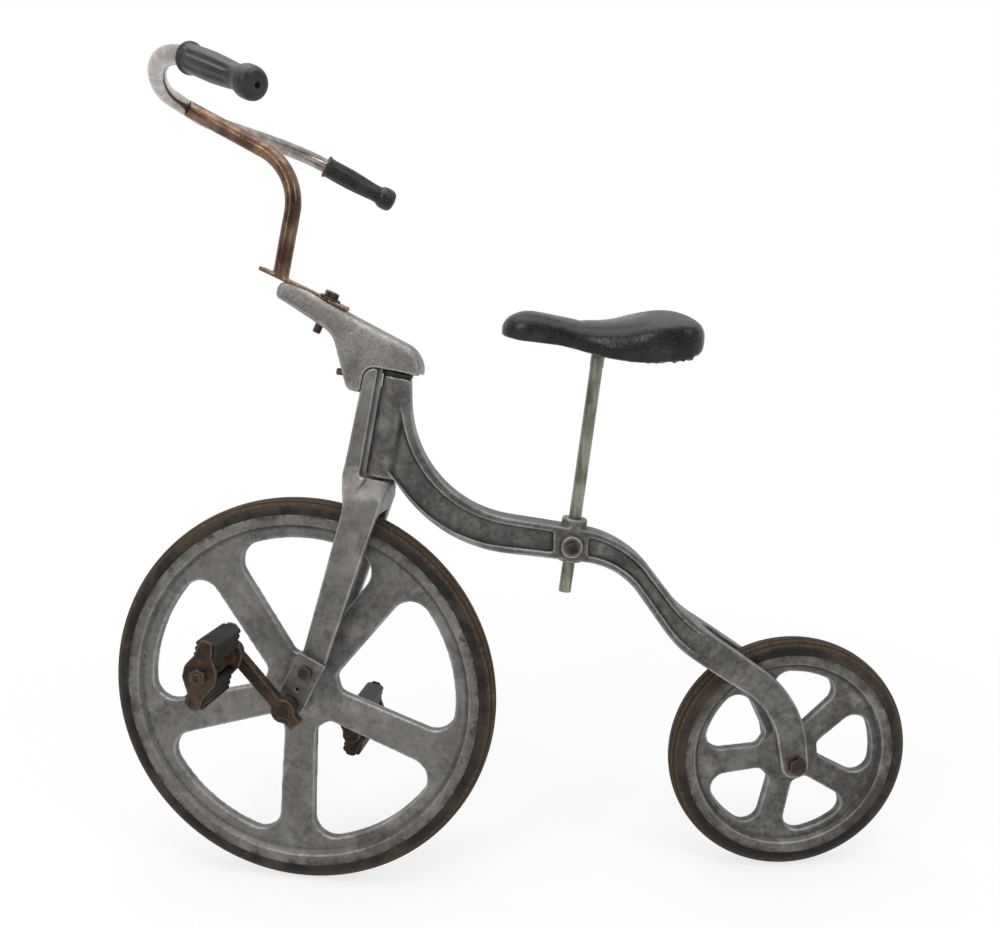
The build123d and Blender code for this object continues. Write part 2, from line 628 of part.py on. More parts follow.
# Wheels and tyres
def wheel_casting(size):
    seat = size.rim_radius - RIM_CHANNEL_DEPTH
    web = WEB_THICKNESS / 2
    edge = RIM_WIDTH / 2
    half = [
        (size.bore_radius, size.hub_half_width), (size.hub_radius, size.hub_half_width),
        (size.window_inner - WINDOW_LAND, web), (size.rim_radius - RIM_BAND - RIM_BAND_STEP, web),
        (size.rim_radius - RIM_BAND, edge - RIM_BAND_CROWN), (size.rim_radius - RIM_BAND / 2, edge),
        (size.rim_radius - RIM_LIP, edge), (size.rim_radius, edge - RIM_LIP),
        (size.rim_radius, RIM_CHANNEL_WIDTH / 2), (seat, RIM_CHANNEL_WIDTH / 2),
    ]
    points = half + [(radius, -across) for radius, across in reversed(half)]
    casting = revolve(make_face(Polyline(*points, close=True)), Axis.Y)
    middle = (size.window_outer + size.window_inner) / 2
    spoke = make_face(Polyline((0, size.spoke_at_hub / 2), (size.rim_radius, size.spoke_at_rim / 2),
                               (size.rim_radius, -size.spoke_at_rim / 2), (0, -size.spoke_at_hub / 2), close=True))
    windows = Circle(size.window_outer) - Circle(size.window_inner)
    for count in range(SPOKES):
        windows -= Rot(0, 0, size.first_spoke + 360 / SPOKES * count) * spoke
    outer = [v for v in windows.vertices() if hypot(v.X, v.Y) > middle]
    windows = fillet(outer, size.spoke_at_rim * WINDOW_ROUND_AT_RIM)
    inner = [v for v in windows.vertices() if hypot(v.X, v.Y) < size.window_inner + 1]
    windows = fillet(inner, size.spoke_at_hub * WINDOW_ROUND_AT_HUB)
    return casting - extrude(Plane.XZ * windows, RIM_WIDTH, both=True)


def tyre_ring(size):
    seat = size.rim_radius - RIM_CHANNEL_DEPTH
    in_channel = RIM_CHANNEL_WIDTH / 2 - TYRE_SIDE_GAP
    lip = size.rim_radius + TYRE_LIP_GAP
    half = [(seat, in_channel), (lip, in_channel), (lip, TYRE_WIDTH / 2), (size.radius - 5, TYRE_WIDTH / 2),
            (size.radius, TYRE_WIDTH / 2 - 7)]
    points = half + [(radius, -across) for radius, across in reversed(half)]
    return revolve(make_face(Polyline(*points, close=True)), Axis.Y)


def at_place(shape, place):
    return Pos(place[0], 0, place[1]) * shape


def crank_axle():
    axle = cross_rod(FRONT_AXLE, FRONT_AXLE_RADIUS, -CRANK_INSIDE - CRANK_THICKNESS, CRANK_INSIDE + CRANK_THICKNESS)
    for side in (1, -1):
        inside = FORK_OUTER + CAP_THICKNESS + SIDE_GAP
        axle += cross_rod(FRONT_AXLE, COLLAR_RADIUS, inside * side, CRANK_INSIDE * side)
    return axle


def crank_turn(side):
    """Turn about the front axle; the right crank has slipped on the axle from its place opposite the left."""
    return CRANK_ANGLE if side > 0 else CRANK_ANGLE + 180 + CRANK_SLIP


def crank(side):
    """Crank with its pedal spindle, drawn along x and then turned to its place."""
    inside, outside = CRANK_INSIDE * side, (CRANK_INSIDE + CRANK_THICKNESS) * side
    piece = cross_rod((0, 0), CRANK_EYE_RADIUS, inside, outside)
    piece += cross_rod((CRANK_LENGTH, 0), CRANK_TIP_RADIUS, inside, outside)
    arm = Plane.XZ * (Pos(CRANK_LENGTH / 2, 0) * Rectangle(CRANK_LENGTH, CRANK_HALF_WIDTH * 2))
    piece += Pos(0, inside, 0) * extrude(arm, -CRANK_THICKNESS * side)
    lug_place = Pos(-CRANK_EYE_RADIUS - LUG_STANDOFF, 0)
    lug = Plane.XZ * (lug_place * Rectangle(LUG_LENGTH, LUG_WIDTH))
    piece += Pos(0, inside, 0) * extrude(lug, -CRANK_THICKNESS * side)
    slit = Plane.XZ * (lug_place * Rectangle(LUG_LENGTH + 2 * LUG_STANDOFF, LUG_SLIT))
    piece -= Pos(0, inside, 0) * extrude(slit, -CRANK_THICKNESS * side)
    piece -= cross_rod((0, 0), FRONT_AXLE_RADIUS + SEAT_FIT, inside, outside)
    spindle_end = PEDAL_OUTSIDE + SPINDLE_NUT_HEIGHT + SPINDLE_END
    piece += cross_rod((CRANK_LENGTH, 0), SPINDLE_RADIUS, inside, spindle_end * side)
    return at_place(Rot(0, -crank_turn(side), 0) * piece, FRONT_AXLE)


def pedal_place(side):
    turn = radians(crank_turn(side))
    return (WHEELBASE + CRANK_LENGTH * cos(turn), FRONT_RADIUS + CRANK_LENGTH * sin(turn))


def spindle_nut(side):
    x, z = pedal_place(side)
    inside, outside = PEDAL_OUTSIDE + SIDE_GAP, PEDAL_OUTSIDE + SPINDLE_NUT_HEIGHT
    nut = hexagon((x, inside * side, z), (x, outside * side, z), SPINDLE_NUT_ACROSS)
    return nut - cross_rod((x, z), SPINDLE_RADIUS + SEAT_FIT, inside * side, outside * side)


# Quarter of a pedal plate: across, up, corner radius
PLATE_OUTLINE = [(6.0, PLATE_HALF_HEIGHT, 5), (8.0, 19.0, 8), (16.0, 6.0, 10)]


def pedal_cage(side):
    """Two lozenge plates joined by the tube that turns on the spindle."""
    quarter = PLATE_OUTLINE
    right = quarter + [(across, -up, radius) for across, up, radius in reversed(quarter)]
    left = [(-across, up, radius) for across, up, radius in reversed(right)]
    plate = extrude(Plane.XZ * outline(right + left), -PLATE_THICKNESS * side)
    cage = Pos(0, PEDAL_INSIDE * side, 0) * plate
    cage += Pos(0, (PEDAL_OUTSIDE - PLATE_THICKNESS) * side, 0) * plate
    cage += cross_rod((0, 0), PEDAL_TUBE_RADIUS, PEDAL_INSIDE * side, PEDAL_OUTSIDE * side)
    cage -= cross_rod((0, 0), SPINDLE_RADIUS + PIN_FIT, PEDAL_INSIDE * side, PEDAL_OUTSIDE * side)
    return at_place(Rot(0, -PEDAL_LEAN, 0) * cage, pedal_place(side))


def pedal_rubber(side, way):
    """One of the two rubber blocks between a pedal's plates, above or below the spindle."""
    section = RectangleRounded(BLOCK_THICK, BLOCK_TALL, BLOCK_ROUND)
    for face in (BLOCK_THICK / 2, -BLOCK_THICK / 2):
        rows = GridLocations(BLOCK_THICK, GROOVE_PITCH, 1, GROOVES)
        section -= [Pos(face, 0) * row * Rectangle(2 * GROOVE_DEPTH, GROOVE_WIDTH) for row in rows]
    inside = PEDAL_INSIDE + PLATE_THICKNESS
    length = PEDAL_OUTSIDE - PLATE_THICKNESS - inside
    solid = Pos(0, inside * side, BLOCK_OFFSET * way) * extrude(Plane.XZ * section, -length * side)
    return at_place(Rot(0, -PEDAL_LEAN, 0) * solid, pedal_place(side))


# Rear axle
def rear_axle_bolt():
    x, z = REAR_AXLE
    shoulder = -LEG_OUTER - REAR_BOLT_HEAD
    shank = bolt((x, LEG_OUTER, z), (x, shoulder, z), REAR_AXLE_RADIUS, REAR_BOLT_ACROSS, REAR_BOLT_HEAD)
    return shank + cross_rod(REAR_AXLE, REAR_STUB_RADIUS, shoulder, shoulder - REAR_STUB)


def rear_axle_nut():
    x, z = REAR_AXLE
    nut = hexagon((x, -LEG_OUTER, z), (x, -LEG_OUTER - REAR_BOLT_HEAD, z), REAR_BOLT_ACROSS)
    return nut - cross_rod(REAR_AXLE, REAR_AXLE_RADIUS + SEAT_FIT, -LEG_OUTER, -LEG_OUTER - REAR_BOLT_HEAD)


def all_pieces():
    """Every node with its solid, and whether it turns with the steering."""
    pieces = [
        ("frame_spine", frame_spine(), False), ("seat_post", seat_post(), False),
        ("seat_post_screw", seat_post_screw(), False), ("saddle", saddle(), False),
        ("saddle_socket", saddle_socket(), False), ("rear_axle_bolt", rear_axle_bolt(), False),
        ("rear_axle_nut", rear_axle_nut(), False),
        ("rear_wheel", at_place(wheel_casting(REAR), REAR_AXLE), False),
        ("rear_tyre", at_place(tyre_ring(REAR), REAR_AXLE), False),
        ("fork", fork(), True), ("steering_pin", steering_pin(), True), ("neck", neck(), True),
        ("neck_bolt", neck_bolt(), True), ("handlebar_stem", handlebar_stem(), True),
        ("stem_clamp_bolt", stem_clamp_bolt(), True), ("stem_clamp_washer", stem_clamp_washer(), True),
        ("handlebar", handlebar(), True),
        ("front_wheel", at_place(wheel_casting(FRONT), FRONT_AXLE), True),
        ("front_tyre", at_place(tyre_ring(FRONT), FRONT_AXLE), True), ("crank_axle", crank_axle(), True),
    ]
    for name, side in (("left", 1), ("right", -1)):
        pieces += [
            (f"grip_{name}", grip(side), True), (f"bearing_cap_{name}", bearing_cap(side), True),
            (f"bearing_cap_bolt_{name}", bearing_cap_bolt(side), True), (f"crank_{name}", crank(side), True),
            (f"spindle_nut_{name}", spindle_nut(side), True), (f"pedal_cage_{name}", pedal_cage(side), True),
            (f"pedal_rubber_upper_{name}", pedal_rubber(side, 1), True),
            (f"pedal_rubber_lower_{name}", pedal_rubber(side, -1), True),
        ]
    return pieces


rider = Vector(*post_point(POST_LENGTH)) + Vector(0, 0, SEAT_RISE)
os.makedirs("parts", exist_ok=True)
for node, solid, steered in all_pieces():
    placed = solid.rotate(STEER_AXIS, -STEER_TURN) if steered else solid
    export_step(Pos(-rider) * placed, f"parts/{node}.step")
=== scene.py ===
# %% [markdown]
# # A child's pavement bicycle in cast aluminium
# The solids come from the packed frame, in metres, with the origin on the saddle, +X forward and +Y to
# the rider's left. This lesson dresses them: castings get soft edges and a stained skin, the tyres get
# ribs and dust, the saddle becomes a padded form, and everything that was steel goes brown with rust.

# %% Load the frame
import json
import math
from contextlib import contextmanager

import bmesh
import bpy
import numpy as np
from mathutils import Matrix, Vector, noise as random_swell


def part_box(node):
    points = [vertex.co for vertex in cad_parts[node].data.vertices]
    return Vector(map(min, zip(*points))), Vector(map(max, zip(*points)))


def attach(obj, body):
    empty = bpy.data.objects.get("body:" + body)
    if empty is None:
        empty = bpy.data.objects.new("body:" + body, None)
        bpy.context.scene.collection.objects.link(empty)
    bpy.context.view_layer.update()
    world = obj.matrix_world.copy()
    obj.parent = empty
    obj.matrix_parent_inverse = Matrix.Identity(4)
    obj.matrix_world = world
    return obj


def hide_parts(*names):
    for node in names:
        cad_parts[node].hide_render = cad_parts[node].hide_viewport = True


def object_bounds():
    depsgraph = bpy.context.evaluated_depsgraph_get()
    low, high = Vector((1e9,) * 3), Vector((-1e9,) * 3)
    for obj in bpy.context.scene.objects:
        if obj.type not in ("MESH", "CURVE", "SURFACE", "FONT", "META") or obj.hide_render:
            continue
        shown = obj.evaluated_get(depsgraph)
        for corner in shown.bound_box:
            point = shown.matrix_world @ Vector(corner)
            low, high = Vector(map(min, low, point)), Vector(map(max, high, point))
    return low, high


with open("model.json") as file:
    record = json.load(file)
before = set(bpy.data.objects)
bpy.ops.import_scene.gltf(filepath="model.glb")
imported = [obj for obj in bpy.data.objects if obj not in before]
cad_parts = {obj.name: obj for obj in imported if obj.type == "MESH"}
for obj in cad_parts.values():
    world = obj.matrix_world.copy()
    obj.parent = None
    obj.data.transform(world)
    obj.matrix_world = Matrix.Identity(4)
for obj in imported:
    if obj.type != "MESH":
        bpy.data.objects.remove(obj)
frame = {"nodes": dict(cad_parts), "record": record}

CAD_BOX = [list(corner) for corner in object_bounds()]
BODY_OF = {node: body for body, nodes in frame["record"]["behaviour"]["bodies"].items() for node in nodes}
SLOT_OF = {part["node"]: part["material_slot"] for part in frame["record"]["subparts"]}
JOINTS = {joint["name"]: joint for joint in frame["record"]["behaviour"]["joints"]}
print("bodies:", sorted(set(BODY_OF.values())), "nodes:", len(BODY_OF))

# %% [markdown]
# ## Camera
# The photograph was taken from the bicycle's left, from just above the saddle and a little under a metre
# away. Both wheels are circles of known size, so their outlines fix the camera: its place, its turn and
# its focal length in pixels. Blender wants the lens in millimetres on a 36 mm sensor, which is only a
# change of unit.

# %% Camera at the photograph's angle
PHOTO_WIDTH = 1000
FOCAL_PIXELS = 950
SENSOR = 36.0
CAMERA_PLACE = Vector((0.1572, 0.9370, 0.0171))
CAMERA_YAW = math.radians(-3.67)
CAMERA_PITCH = math.radians(-9.69)
CAMERA_ROLL = math.radians(-0.52)


def aimed_camera():
    """Camera that looks across the bicycle from its left, then yaws, pitches and rolls."""
    data = bpy.data.cameras.new("camera")
    data.sensor_fit = "HORIZONTAL"
    data.sensor_width = SENSOR
    data.lens = SENSOR * FOCAL_PIXELS / PHOTO_WIDTH
    data.clip_start = 0.01
    right, up, ahead = Vector((-1, 0, 0)), Vector((0, 0, 1)), Vector((0, -1, 0))
    for angle, axis in ((CAMERA_YAW, "z"), (CAMERA_PITCH, "right"), (CAMERA_ROLL, "ahead")):
        about = {"z": Vector((0, 0, 1)), "right": right, "ahead": ahead}[axis]
        turn = Matrix.Rotation(angle, 3, about)
        right, up, ahead = turn @ right, turn @ up, turn @ ahead
    camera = bpy.data.objects.new("camera", data)
    camera.matrix_world = Matrix((right, up, -ahead)).transposed().to_4x4()
    camera.location = CAMERA_PLACE
    bpy.context.collection.objects.link(camera)
    return camera


bpy.context.scene.camera = aimed_camera()
print("camera lens mm:", round(bpy.context.scene.camera.data.lens, 1))

# %% [markdown]
# ## Shader maths as Python
# A procedural finish is arithmetic on noise. Wrapping a socket in a small class lets that arithmetic be
# written as Python: an operator adds a Math node, and one method adds any other node with its settings
# and sockets. Geometry Nodes use the same Math nodes, so the class serves the tyres and grips as well.

# %% A socket that does arithmetic
class Wire:
    """An output socket in a tree of nodes; operators on it add Math nodes."""

    def __init__(self, tree, socket):
        self.tree = tree
        self.socket = socket

    def node(self, kind, settings=None, sockets=None, output=0):
        """Adds a node: its settings first, then a value or a link for each named socket."""
        made = self.tree.nodes.new(kind)
        for name, value in (settings or {}).items():
            if name == "profile":
                points = made.mapping.curves[0].points
                while len(points) < len(value):
                    points.new(0.5, 0.5)
                for point, (across, up) in zip(points, value):
                    point.location = (across, up)
                    point.handle_type = "VECTOR"
                made.mapping.update()
            else:
                setattr(made, name, value)
        for name, value in (sockets or {}).items():
            if isinstance(value, Wire):
                self.tree.links.new(value.socket, made.inputs[name])
            else:
                made.inputs[name].default_value = value
        return Wire(self.tree, made.outputs[output] if made.outputs else None)

    def output(self, number):
        """Another output of the same node."""
        return Wire(self.tree, self.socket.node.outputs[number])

    def maths(self, operation, first, second):
        return self.node("ShaderNodeMath", {"operation": operation}, {0: first, 1: second})

    def __add__(self, other):
        return self.maths("ADD", self, other)

    def __sub__(self, other):
        return self.maths("SUBTRACT", self, other)

    def __rsub__(self, other):
        return self.maths("SUBTRACT", other, self)

    def __mul__(self, other):
        return self.maths("MULTIPLY", self, other)

    def __pow__(self, other):
        return self.maths("POWER", self, other)

    __radd__ = __add__
    __rmul__ = __mul__


print("methods of a socket:", [name for name in vars(Wire) if not name.startswith("__")])

# %% Noise, steps and tints
def noise(place, scale, detail=4.0, roughness=0.55):
    """Cloudy noise from 0 to 1, with so many swells to the metre."""
    return place.node("ShaderNodeTexNoise", {}, {"Vector": place, "Scale": scale, "Detail": detail,
                                                 "Roughness": roughness})


def cells(place, scale, feature="F1"):
    """Distance to the nearest of scattered points, for pits and cracks."""
    return place.node("ShaderNodeTexVoronoi", {"feature": feature}, {"Vector": place, "Scale": scale})


def rise(value, low, high):
    """Smooth step from 0 at low to 1 at high."""
    return value.node("ShaderNodeMapRange", {"interpolation_type": "SMOOTHSTEP"},
                      {"Value": value, "From Min": low, "From Max": high})


def tint(mask, below, above):
    """Colour that goes from one to the other with a mask."""
    return mask.node("ShaderNodeMix", {"data_type": "RGBA"}, {0: mask, 6: below, 7: above}, output=2)


print("noise helpers ready")

# %% Start and end of a finish
MILLIMETRE = 0.001


def start_finish(name):
    """New material with its place on the piece, ready for a finish."""
    material = bpy.data.materials.new(name)
    material.use_nodes = True
    tree = material.node_tree
    tree.nodes.clear()
    return material, Wire(tree, tree.nodes.new("ShaderNodeTexCoord").outputs["Object"])


def worn(place, name):
    """A piece's own attribute, such as how sharp its edge is at each point."""
    return place.node("ShaderNodeAttribute", {"attribute_name": name}, output=2)


def end_finish(place, height, bump, base, roughness, metallic=0.0, specular=0.5):
    """Principled surface with a bump from a height in millimetres."""
    normal = place.node("ShaderNodeBump", {}, {"Height": height, "Distance": MILLIMETRE, "Strength": bump})
    surface = place.node("ShaderNodeBsdfPrincipled", {}, {
        "Normal": normal, "Base Color": base, "Roughness": roughness, "Metallic": metallic,
        "Specular IOR Level": specular})
    place.node("ShaderNodeOutputMaterial", {}, {"Surface": surface})


print("finish helpers ready")

# %% [markdown]
# ## Cast aluminium
# Old sand-cast aluminium is dull: oxide makes it a mottled mid-grey, hands and road dirt leave darker
# clouds and brownish stains, and edges that rub stay brighter. Noise of several sizes gives clouds,
# mottling, blotches and sand grain. The edge and hollow attributes, measured later on each casting,
# lighten rims with rub wear and a painted highlight, and darken corners with painted shade; the tone
# attribute makes one casting paler than the next.
# Along the wheels' rims the grime attribute lets brown dirt creep in from the tyre.

# %% Cast aluminium finish
# Colours of the metal and of what lies on it, with painted shade for hollows and a painted edge highlight
DARK_OXIDE = (0.062, 0.058, 0.055, 1)
GREY_OXIDE = (0.185, 0.178, 0.17, 1)
PALE_OXIDE = (0.31, 0.297, 0.278, 1)
BROWN_STAIN = (0.1, 0.078, 0.06, 1)
PIT_DIRT = (0.066, 0.05, 0.037, 1)
BARE_METAL = (0.43, 0.39, 0.34, 1)
DRIP = (0.056, 0.05, 0.047, 1)
PAINTED_CORNER_SHADE = (0.028, 0.025, 0.023, 1)
RUBBED_EDGE_AND_HIGHLIGHT = (0.48, 0.465, 0.45, 1)
RIM_GRIME = (0.06, 0.04, 0.026, 1)


def cast_aluminium(name, pitted):
    material, place = start_finish(name)
    clouds = noise(place, 9, 3)
    mottle = noise(place, 42, 6, 0.62)
    blotch = noise(place, 150, 5, 0.62)
    grain = noise(place, 1100, 2)
    edge = worn(place, "edge")
    hollow = worn(place, "hollow")
    tone = worn(place, "tone")
    shade = clouds * 0.3 + mottle * 0.36 + blotch * 0.34 + tone
    base = tint(rise(shade, 0.37, 0.63), DARK_OXIDE, GREY_OXIDE)
    pale = rise(noise(place, 24, 7, 0.68) + tone * 0.5, 0.52, 0.7)
    base = tint(pale * 0.55, base, PALE_OXIDE)
    stain = rise(noise(place, 14, 6, 0.68), 0.54, 0.72)
    base = tint(stain * 0.45, base, BROWN_STAIN)
    pits = rise(noise(place, 430, 6, 0.74), 0.42, 0.66)
    base = tint(pits * pitted, base, PIT_DIRT)
    bare = rise(noise(place, 120, 8, 0.76), 0.52, 0.68)
    base = tint(bare * pitted * 0.8, base, BARE_METAL)
    drips = noise(place.node("ShaderNodeMapping", {}, {"Vector": place, "Scale": (1, 1, 0.3)}), 60, 5, 0.65)
    base = tint(rise(drips, 0.56, 0.7) * 0.35, base, DRIP)
    # Painted shade: hollows and corners are darkened where shade would fall in them.
    base = tint(rise(hollow, 0.1, 0.7) * 0.6, base, PAINTED_CORNER_SHADE)
    # Edges are lightened for rub wear and also as a painted highlight.
    bright_edge = rise(edge, 0.15, 0.7) * (rise(mottle, 0.35, 0.7) * 0.6 + 0.4)
    base = tint(bright_edge * 0.6, base, RUBBED_EDGE_AND_HIGHLIGHT)
    grime = rise(worn(place, "grime") * 0.5 + noise(place, 75, 6, 0.7), 0.82, 1.02)
    base = tint(grime * 0.8, base, RIM_GRIME)
    roughness = 0.44 - bright_edge * 0.12 - pale * 0.06 + blotch * 0.12 + grime * 0.2
    height = grain * 0.08 + mottle * 0.25 + blotch * 0.2 - pits * pitted * 0.1
    end_finish(place, height, 0.5, base, roughness, metallic=0.7)
    return material


CAST_ALUMINIUM = cast_aluminium("cast_aluminium", 0.22)
PITTED_ALUMINIUM = cast_aluminium("pitted_aluminium", 0.62)
print("finishes:", CAST_ALUMINIUM.name, PITTED_ALUMINIUM.name)

# %% [markdown]
# ## Tyre rubber
# The tyres are solid rubber rings. The tread has gone brown with dust that sits in the ribs, and the
# walls have stayed nearly black. A crown attribute, 1 on the tread and 0 on the walls, says where the
# dust goes, and a groove attribute says where the grooves get painted shade.

# %% Tyre rubber finish
# Colours of the rubber and of its dust, and the painted shade in the grooves
TYRE_BLACK = (0.0085, 0.0072, 0.0062, 1)
TYRE_GREY = (0.03, 0.0245, 0.0195, 1)
ROAD_DUST = (0.082, 0.052, 0.03, 1)
CHALKY_DUST = (0.2, 0.15, 0.1, 1)
PAINTED_GROOVE_SHADE = (0.01, 0.008, 0.006, 1)


def tyre_rubber():
    material, place = start_finish("tyre_rubber")
    crown = worn(place, "crown")
    groove = worn(place, "groove")
    patches = noise(place, 26, 5, 0.65)
    speckle = noise(place, 300, 4, 0.65)
    dust = rise(crown * 0.42 + patches * 1.25, 0.62, 1.0) * rise(speckle, 0.32, 0.58)
    base = tint(rise(patches, 0.4, 0.65), TYRE_BLACK, TYRE_GREY)
    base = tint(dust * 0.85, base, ROAD_DUST)
    chalk = rise(noise(place, 120, 6, 0.72), 0.58, 0.72) * rise(crown + patches * 0.4, 0.35, 0.9)
    base = tint(chalk * 0.6, base, CHALKY_DUST)
    # Painted shade: the grooves are darkened where shade would fall in them.
    base = tint(groove * 0.85, base, PAINTED_GROOVE_SHADE)
    roughness = 0.55 + dust * 0.3
    height = speckle * 0.45 + noise(place, 70, 4) * 0.6
    end_finish(place, height, 0.7, base, roughness, specular=0.25)
    return material


TYRE_RUBBER = tyre_rubber()
print("finish:", TYRE_RUBBER.name)

# %% [markdown]
# ## Rusted steel
# Stem, cranks, pedal plates and bolts are plain steel with an old, hard, dark brown rust. Lighter orange
# bloom shows in patches, handling has polished some edges, and the surface is finely pitted. The stem has
# kept more of its polish: its thin brown patina still mirrors the room.

# %% Rusted steel finish
# Colours of the rust on bolts, cranks and plates
OLD_RUST = (0.018, 0.011, 0.0075, 1)
BROWN_RUST = (0.062, 0.033, 0.018, 1)
ORANGE_RUST = (0.14, 0.068, 0.028, 1)
POLISHED_RUST = (0.15, 0.11, 0.082, 1)


def rusted_steel():
    material, place = start_finish("rusted_steel")
    patches = noise(place, 55, 5, 0.6)
    bloom = noise(place, 120, 5, 0.65)
    pits = cells(place, 900)
    edge = worn(place, "edge")
    base = tint(rise(patches, 0.36, 0.64), OLD_RUST, BROWN_RUST)
    base = tint(rise(bloom, 0.55, 0.72) * 0.6, base, ORANGE_RUST)
    bright_edge = rise(edge + patches * 0.4 - 0.2, 0.15, 0.65)
    base = tint(bright_edge * 0.35, base, POLISHED_RUST)
    roughness = 0.44 - bright_edge * 0.1 + rise(bloom, 0.45, 0.7) * 0.3
    height = pits * -0.25 + bloom * 0.3
    end_finish(place, height, 0.7, base, roughness, metallic=0.35, specular=0.3)
    return material


# Colours of the patina on the stem
DARK_PATINA = (0.076, 0.041, 0.025, 1)
LIGHT_PATINA = (0.23, 0.145, 0.093, 1)
PATINA_RUST = (0.075, 0.036, 0.019, 1)


def browned_tube():
    material, place = start_finish("browned_tube")
    patches = noise(place, 34, 5, 0.6)
    bloom = noise(place, 110, 4, 0.55)
    base = tint(rise(patches, 0.36, 0.66), DARK_PATINA, LIGHT_PATINA)
    base = tint(rise(bloom, 0.54, 0.72) * 0.6, base, PATINA_RUST)
    roughness = rise(bloom, 0.45, 0.7) * 0.2 + patches * 0.1 + 0.2
    end_finish(place, patches * 0.2, 0.3, base, roughness, metallic=0.75)
    return material


RUSTED_STEEL = rusted_steel()
BROWNED_TUBE = browned_tube()
print("finishes:", RUSTED_STEEL.name, BROWNED_TUBE.name)

# %% [markdown]
# ## Worn chrome
# The handlebar was chromed. It still mirrors the room, dulled to satin, with rust freckles that gather
# into brown clouds, and yellowed clouds here and there.

# %% Worn chrome finish
# Colours of the chrome and of its rust
DULL_CHROME = (0.27, 0.245, 0.23, 1)
CLEAR_CHROME = (0.42, 0.4, 0.385, 1)
YELLOWED_CHROME = (0.3, 0.215, 0.15, 1)
FRECKLE = (0.09, 0.05, 0.028, 1)


def worn_chrome():
    material, place = start_finish("worn_chrome")
    clouds = noise(place, 30, 5, 0.62)
    freckles = noise(place, 520, 4, 0.62)
    haze = noise(place, 90, 4, 0.6)
    rust = rise(freckles + clouds * 0.6, 0.9, 1.02)
    base = tint(rise(haze, 0.38, 0.68), DULL_CHROME, CLEAR_CHROME)
    base = tint(rise(clouds, 0.48, 0.68) * 0.65, base, YELLOWED_CHROME)
    base = tint(rust * 0.7, base, FRECKLE)
    roughness = 0.16 + haze * 0.08 + rust * 0.4
    metallic = 1 - rust * 0.7
    end_finish(place, rust * 0.2, 0.3, base, roughness, metallic=metallic)
    return material


WORN_CHROME = worn_chrome()
print("finish:", WORN_CHROME.name)

# %% [markdown]
# ## Rubber grips, pedal blocks and the washer's painted shade
# Grips and pedal blocks are black rubber. The grips have gone dark grey and satin where hands hold them,
# and the pedal blocks are duller, with brown dust rubbed in. The washer in the head takes the same finish
# in near-black colours, as painted shade for the gap under the neck.

# %% Dark finishes
def dark_finish(name, dark, grey, dust, roughness):
    material, place = start_finish(name)
    patches = noise(place, 60, 4, 0.6)
    speckle = noise(place, 700, 2)
    edge = worn(place, "edge")
    base = tint(rise(patches, 0.38, 0.66), dark, grey)
    base = tint(rise(edge, 0.1, 0.6) * 0.4, base, grey)
    base = tint(rise(noise(place, 130, 5, 0.65), 0.56, 0.76) * 0.6, base, dust)
    height = speckle * 0.15 + patches * 0.2
    end_finish(place, height, 0.5, base, patches * 0.25 + roughness, specular=0.35)
    return material


# Columns: name, dark colour, grey colour, colour of dust, roughness
DARK_FINISHES = [
    ("grip_rubber", (0.01, 0.0095, 0.0095, 1), (0.026, 0.025, 0.024, 1), (0.05, 0.046, 0.042, 1), 0.24),
    ("pedal_rubber", (0.009, 0.008, 0.0075, 1), (0.022, 0.019, 0.017, 1), (0.06, 0.04, 0.027, 1), 0.4),
    # The last row is near-black: painted shade for the washer in the gap under the neck.
    ("washer_shade_steel", (0.006, 0.005, 0.004, 1), (0.015, 0.011, 0.009, 1), (0.03, 0.02, 0.013, 1), 0.4),
]
GRIP_RUBBER, PEDAL_RUBBER, WASHER_SHADE_STEEL = [dark_finish(*row) for row in DARK_FINISHES]
print("finishes:", GRIP_RUBBER.name, PEDAL_RUBBER.name, WASHER_SHADE_STEEL.name)

# %% [markdown]
# ## Saddle cover and seat post
# The saddle's cover is a dark brown-black leathercloth, still glossy, with a fine crackle that has opened
# to grey on the rear top. The seat post is dull steel with a greenish cast.

# %% Saddle and post finishes
# Colours of the leathercloth
COVER_BLACK = (0.0042, 0.0032, 0.0031, 1)
COVER_BROWN = (0.012, 0.0086, 0.0081, 1)
OPEN_CRACK = (0.06, 0.048, 0.042, 1)
SCUFFED_COVER = (0.092, 0.079, 0.073, 1)


def saddle_cover():
    material, place = start_finish("saddle_cover")
    crackle = cells(place, 420, "DISTANCE_TO_EDGE")
    fold = noise(place, 30, 4, 0.55)
    pebble = noise(place, 260, 4, 0.6)
    rubbed = worn(place, "rubbed")
    cracks = 1 - rise(crackle, 0.02, 0.1)
    scuff = rise(rubbed * 0.7 + noise(place, 120, 5, 0.7) * 0.8, 0.72, 1.05)
    base = tint(rise(fold, 0.38, 0.64), COVER_BLACK, COVER_BROWN)
    base = tint(cracks * rise(fold, 0.45, 0.62) * 0.35, base, OPEN_CRACK)
    base = tint(scuff * 0.6, base, SCUFFED_COVER)
    roughness = 0.18 + pebble * 0.16 + scuff * 0.3
    height = fold * 0.6 - cracks * 0.25 + pebble * 0.5
    end_finish(place, height, 0.5, base, roughness, specular=0.34)
    return material


# Colours of the seat post
GREEN_STEEL = (0.12, 0.117, 0.085, 1)
BRIGHT_STEEL = (0.31, 0.3, 0.25, 1)
POST_RUST = (0.1, 0.06, 0.035, 1)


def dull_steel():
    material, place = start_finish("dull_steel")
    streaks = place.node("ShaderNodeMapping", {}, {"Vector": place, "Scale": (1, 1, 0.12)})
    grime = noise(streaks, 160, 4, 0.6)
    patches = noise(place, 40, 5, 0.6)
    base = tint(rise(grime * 0.5 + patches * 0.5, 0.38, 0.62), GREEN_STEEL, BRIGHT_STEEL)
    base = tint(rise(noise(place, 85, 5, 0.7), 0.58, 0.72) * 0.6, base, POST_RUST)
    end_finish(place, grime * 0.2, 0.5, base, patches * 0.2 + 0.3, metallic=0.85)
    return material


